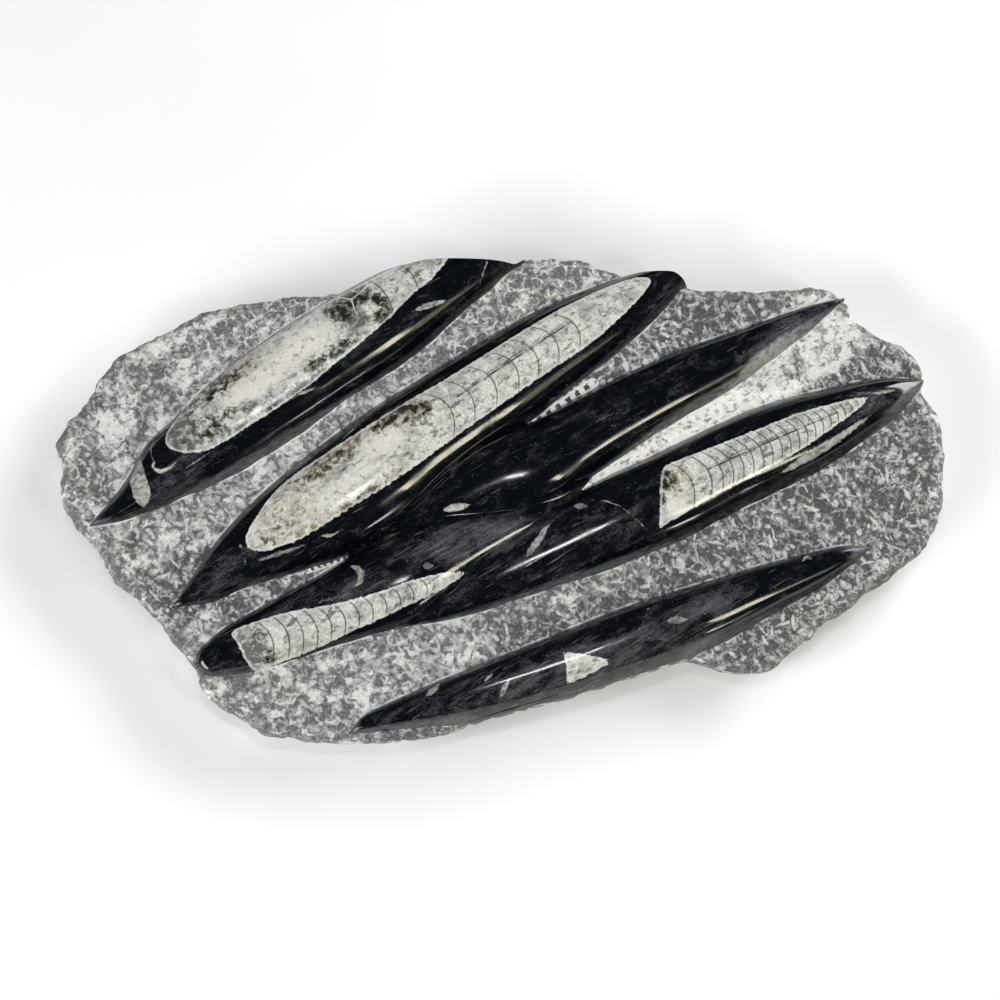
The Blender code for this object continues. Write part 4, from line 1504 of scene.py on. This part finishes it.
class FossilColours(bpy.types.PropertyGroup):
    """Colours and gloss of the stone."""

    limestone: colour_property(
        "Black Limestone", "Polished stone round the shells", (0.0010, 0.0018, 0.0034, 1.0))
    # Grey of the veils, which in places stands for a painted sheen
    limestone_veil: colour_property(
        "Grey Veil", "Faint clouds in the polished stone", (0.085, 0.087, 0.094, 1.0))
    calcite: colour_property("Calcite", "Chambers of the shells", (0.61, 0.60, 0.56, 1.0))
    calcite_cream: colour_property(
        "Cream Calcite", "Clean calcite of the wide ends", (0.67, 0.645, 0.59, 1.0))
    septum: colour_property("Septum", "Lines between the chambers", (0.045, 0.044, 0.042, 1.0))
    stain_brown: colour_property(
        "Brown Stain", "Dark mottles in the living chambers", (0.115, 0.102, 0.080, 1.0))
    stain_tan: colour_property(
        "Tan Stain", "Tan mottles in the living chambers", (0.52, 0.465, 0.375, 1.0))
    chiselled: colour_property(
        "Chiselled Stone", "Rough stone between the strokes", (0.058, 0.060, 0.064, 1.0))
    bruise: colour_property("Bruise", "Crushed stone where the chisel struck", (0.71, 0.70, 0.675, 1.0))
    # Greys of the foot bands, partly a painted reflection of the polished flank
    ground: colour_property(
        "Ground Stone", "Flanks that were ground but not polished", (0.030, 0.032, 0.038, 1.0))
    # Paler streaks in the grey foot bands, partly a painted reflection
    ground_pale: colour_property(
        "Ground Stone, Pale", "Dusty streaks on the ground flanks", (0.13, 0.13, 0.135, 1.0))
    sawn: colour_property("Sawn Stone", "The flat back", (0.15, 0.152, 0.158, 1.0))
    gloss: FloatProperty(
        name="Polish", description="Roughness of the polished stone", default=0.09,
        min=0.0, max=1.0, subtype="FACTOR")


class FossilStage(bpy.types.PropertyGroup):
    """Floor, camera and lights."""

    floor: colour_property("Floor", "Colour of the studio floor", (0.91, 0.91, 0.91, 1.0))
    elevation: FloatProperty(
        name="Elevation", description="Height of the camera over the floor",
        default=math.radians(74.0), subtype="ANGLE")
    distance: FloatProperty(
        name="Distance", description="From the camera to the slab", default=0.85, unit="LENGTH")
    target: FloatVectorProperty(
        name="Target", description="The point that the camera looks at",
        default=(0.00015, -0.00314, 0.019), size=3, unit="LENGTH")
    key_power: FloatProperty(
        name="Key Light", description="Power of the two large soft lights in watts", default=14.0)
    warm_power: FloatProperty(
        name="Warm Light", description="Power of the warm light in watts", default=1.4)
    glint_power: FloatProperty(
        name="Glint Light", description="Power of the small light overhead in watts",
        default=1.1)


def settings():
    """The scene's settings, as three groups."""
    scene = bpy.context.scene
    return scene.fossil_sizes, scene.fossil_colours, scene.fossil_stage


def in_millimetres(sizes):
    """The sizes as plain numbers, with each length in millimetres."""
    plain = {"seed": sizes.seed}
    for name in sizes.__annotations__:
        if name != "seed":
            plain[name] = round(getattr(sizes, name) / MILLIMETRE, 5)
    return SimpleNamespace(**plain)


# ---------------------------------------------------------------------------------------------
# Operators

class FOSSIL_OT_carve_slab(bpy.types.Operator):
    """Carve the slab: ridges, chiselled field, broken edge and sawn back"""

    bl_idname = "fossil.carve_slab"
    bl_label = "Carve Slab"

    def execute(self, context):
        sizes, colours, _ = settings()
        slab = make_slab(Carving(in_millimetres(sizes)))
        bruised = bruised_group(strokes_group())
        for finish in (polished_finish(colours, calcite_group()),
                       chiselled_finish(colours, bruised), sawn_finish(colours, bruised)):
            slab.data.materials.append(finish)
        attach(slab, "root")
        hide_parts(SOLID)
        return {"FINISHED"}


WHITE = (0.97, 0.985, 1)

# Each light: its heading and elevation in degrees, its distance and size in metres, the power it
# draws on and its share of that, and its colour
LIGHTS = [
    ("left softbox", 215, 27, 1.1, (0.9, 0.42), "key_power", 1, WHITE),
    ("right softbox", 35, 27, 1.1, (0.9, 0.42), "key_power", 1, WHITE),
    ("warm window", -36, 46, 1, (0.1, 0.26), "warm_power", 1, (1, 0.95, 0.74)),
    ("olive wall", -29, 35, 1, (0.12, 0.3), "warm_power", 0.22, (0.86, 0.84, 0.52)),
    ("low lamp", -50, 14, 0.9, (0.1, 0.07), "warm_power", 0.25, WHITE),
    ("glint light", 90, 88, 1.1, (0.17, 0.07), "glint_power", 1, WHITE),
]


def aim(thing, spot, target):
    """Put a lamp or camera at a spot, looking at a target."""
    thing.location = spot
    thing.rotation_euler = (Vector(target) - Vector(spot)).to_track_quat("-Z", "Y").to_euler()


def add_light(name, heading, elevation, distance, size, power, colour):
    """A soft rectangular light at a heading and elevation, facing the slab."""
    lamp = bpy.data.lights.new(name, "AREA")
    lamp.shape = "RECTANGLE"
    lamp.size, lamp.size_y = size
    lamp.energy = power
    lamp.color = colour
    light = bpy.data.objects.new(name, lamp)
    bpy.context.scene.collection.objects.link(light)
    turn, rise = math.radians(heading), math.radians(elevation)
    way = Vector((math.cos(turn) * math.cos(rise), math.sin(turn) * math.cos(rise),
                  math.sin(rise)))
    aim(light, way * distance, (0.0, 0.0, 0.015))


class FOSSIL_OT_set_stage(bpy.types.Operator):
    """Set the stage: floor, soft lights, sky and camera"""

    bl_idname = "fossil.set_stage"
    bl_label = "Set Stage"

    def execute(self, context):
        stage = settings()[2]
        scene = context.scene
        half = 3.0
        mesh = bpy.data.meshes.new("studio floor")
        mesh.from_pydata([(-half, -half, 0), (half, -half, 0), (half, half, 0), (-half, half, 0)],
                         [], [(0, 1, 2, 3)])
        mesh.materials.append(floor_finish(stage.floor))
        floor = bpy.data.objects.new("studio_floor", mesh)
        scene.collection.objects.link(floor)

        for name, heading, elevation, distance, size, power, share, colour in LIGHTS:
            add_light(name, heading, elevation, distance, size, getattr(stage, power) * share,
                      colour)

        world = bpy.data.worlds.new("studio")
        world.use_nodes = True
        sky = world.node_tree.nodes["Background"]
        sky.inputs["Color"].default_value = (0.80, 0.88, 1.0, 1.0)
        sky.inputs["Strength"].default_value = 0.05
        scene.world = world

        camera = bpy.data.objects.new("camera", bpy.data.cameras.new("camera"))
        camera.data.lens = 85.0
        camera.data.sensor_width = 36.0
        scene.collection.objects.link(camera)
        target = Vector(stage.target)
        back = Vector((0.0, -math.cos(stage.elevation), math.sin(stage.elevation)))
        aim(camera, target + back * stage.distance, target)
        scene.camera = camera
        scene.view_settings.view_transform = "Standard"
        return {"FINISHED"}


class FOSSIL_PT_panel(bpy.types.Panel):
    """Everything that builds the slab and its stage"""

    bl_idname = "FOSSIL_PT_panel"
    bl_label = "Orthoceras Slab"
    bl_space_type = "VIEW_3D"
    bl_region_type = "UI"
    bl_category = "Fossil"

    def draw(self, context):
        for step in STEPS:
            self.layout.operator(step.bl_idname)
        for group in settings():
            box = self.layout.box()
            for name in group.__annotations__:
                box.prop(group, name)


STEPS = (FOSSIL_OT_set_stage, FOSSIL_OT_carve_slab)
CLASSES = (FossilSizes, FossilColours, FossilStage) + STEPS + (FOSSIL_PT_panel,)


def register():
    for item in CLASSES:
        bpy.utils.register_class(item)
    bpy.types.Scene.fossil_sizes = PointerProperty(type=FossilSizes)
    bpy.types.Scene.fossil_colours = PointerProperty(type=FossilColours)
    bpy.types.Scene.fossil_stage = PointerProperty(type=FossilStage)


def unregister():
    del bpy.types.Scene.fossil_stage
    del bpy.types.Scene.fossil_colours
    del bpy.types.Scene.fossil_sizes
    for item in reversed(CLASSES):
        bpy.utils.unregister_class(item)


def main():
    """Build everything."""
    register()
    bpy.ops.fossil.set_stage()
    bpy.ops.fossil.carve_slab()


if __name__ == "__main__":
    main()
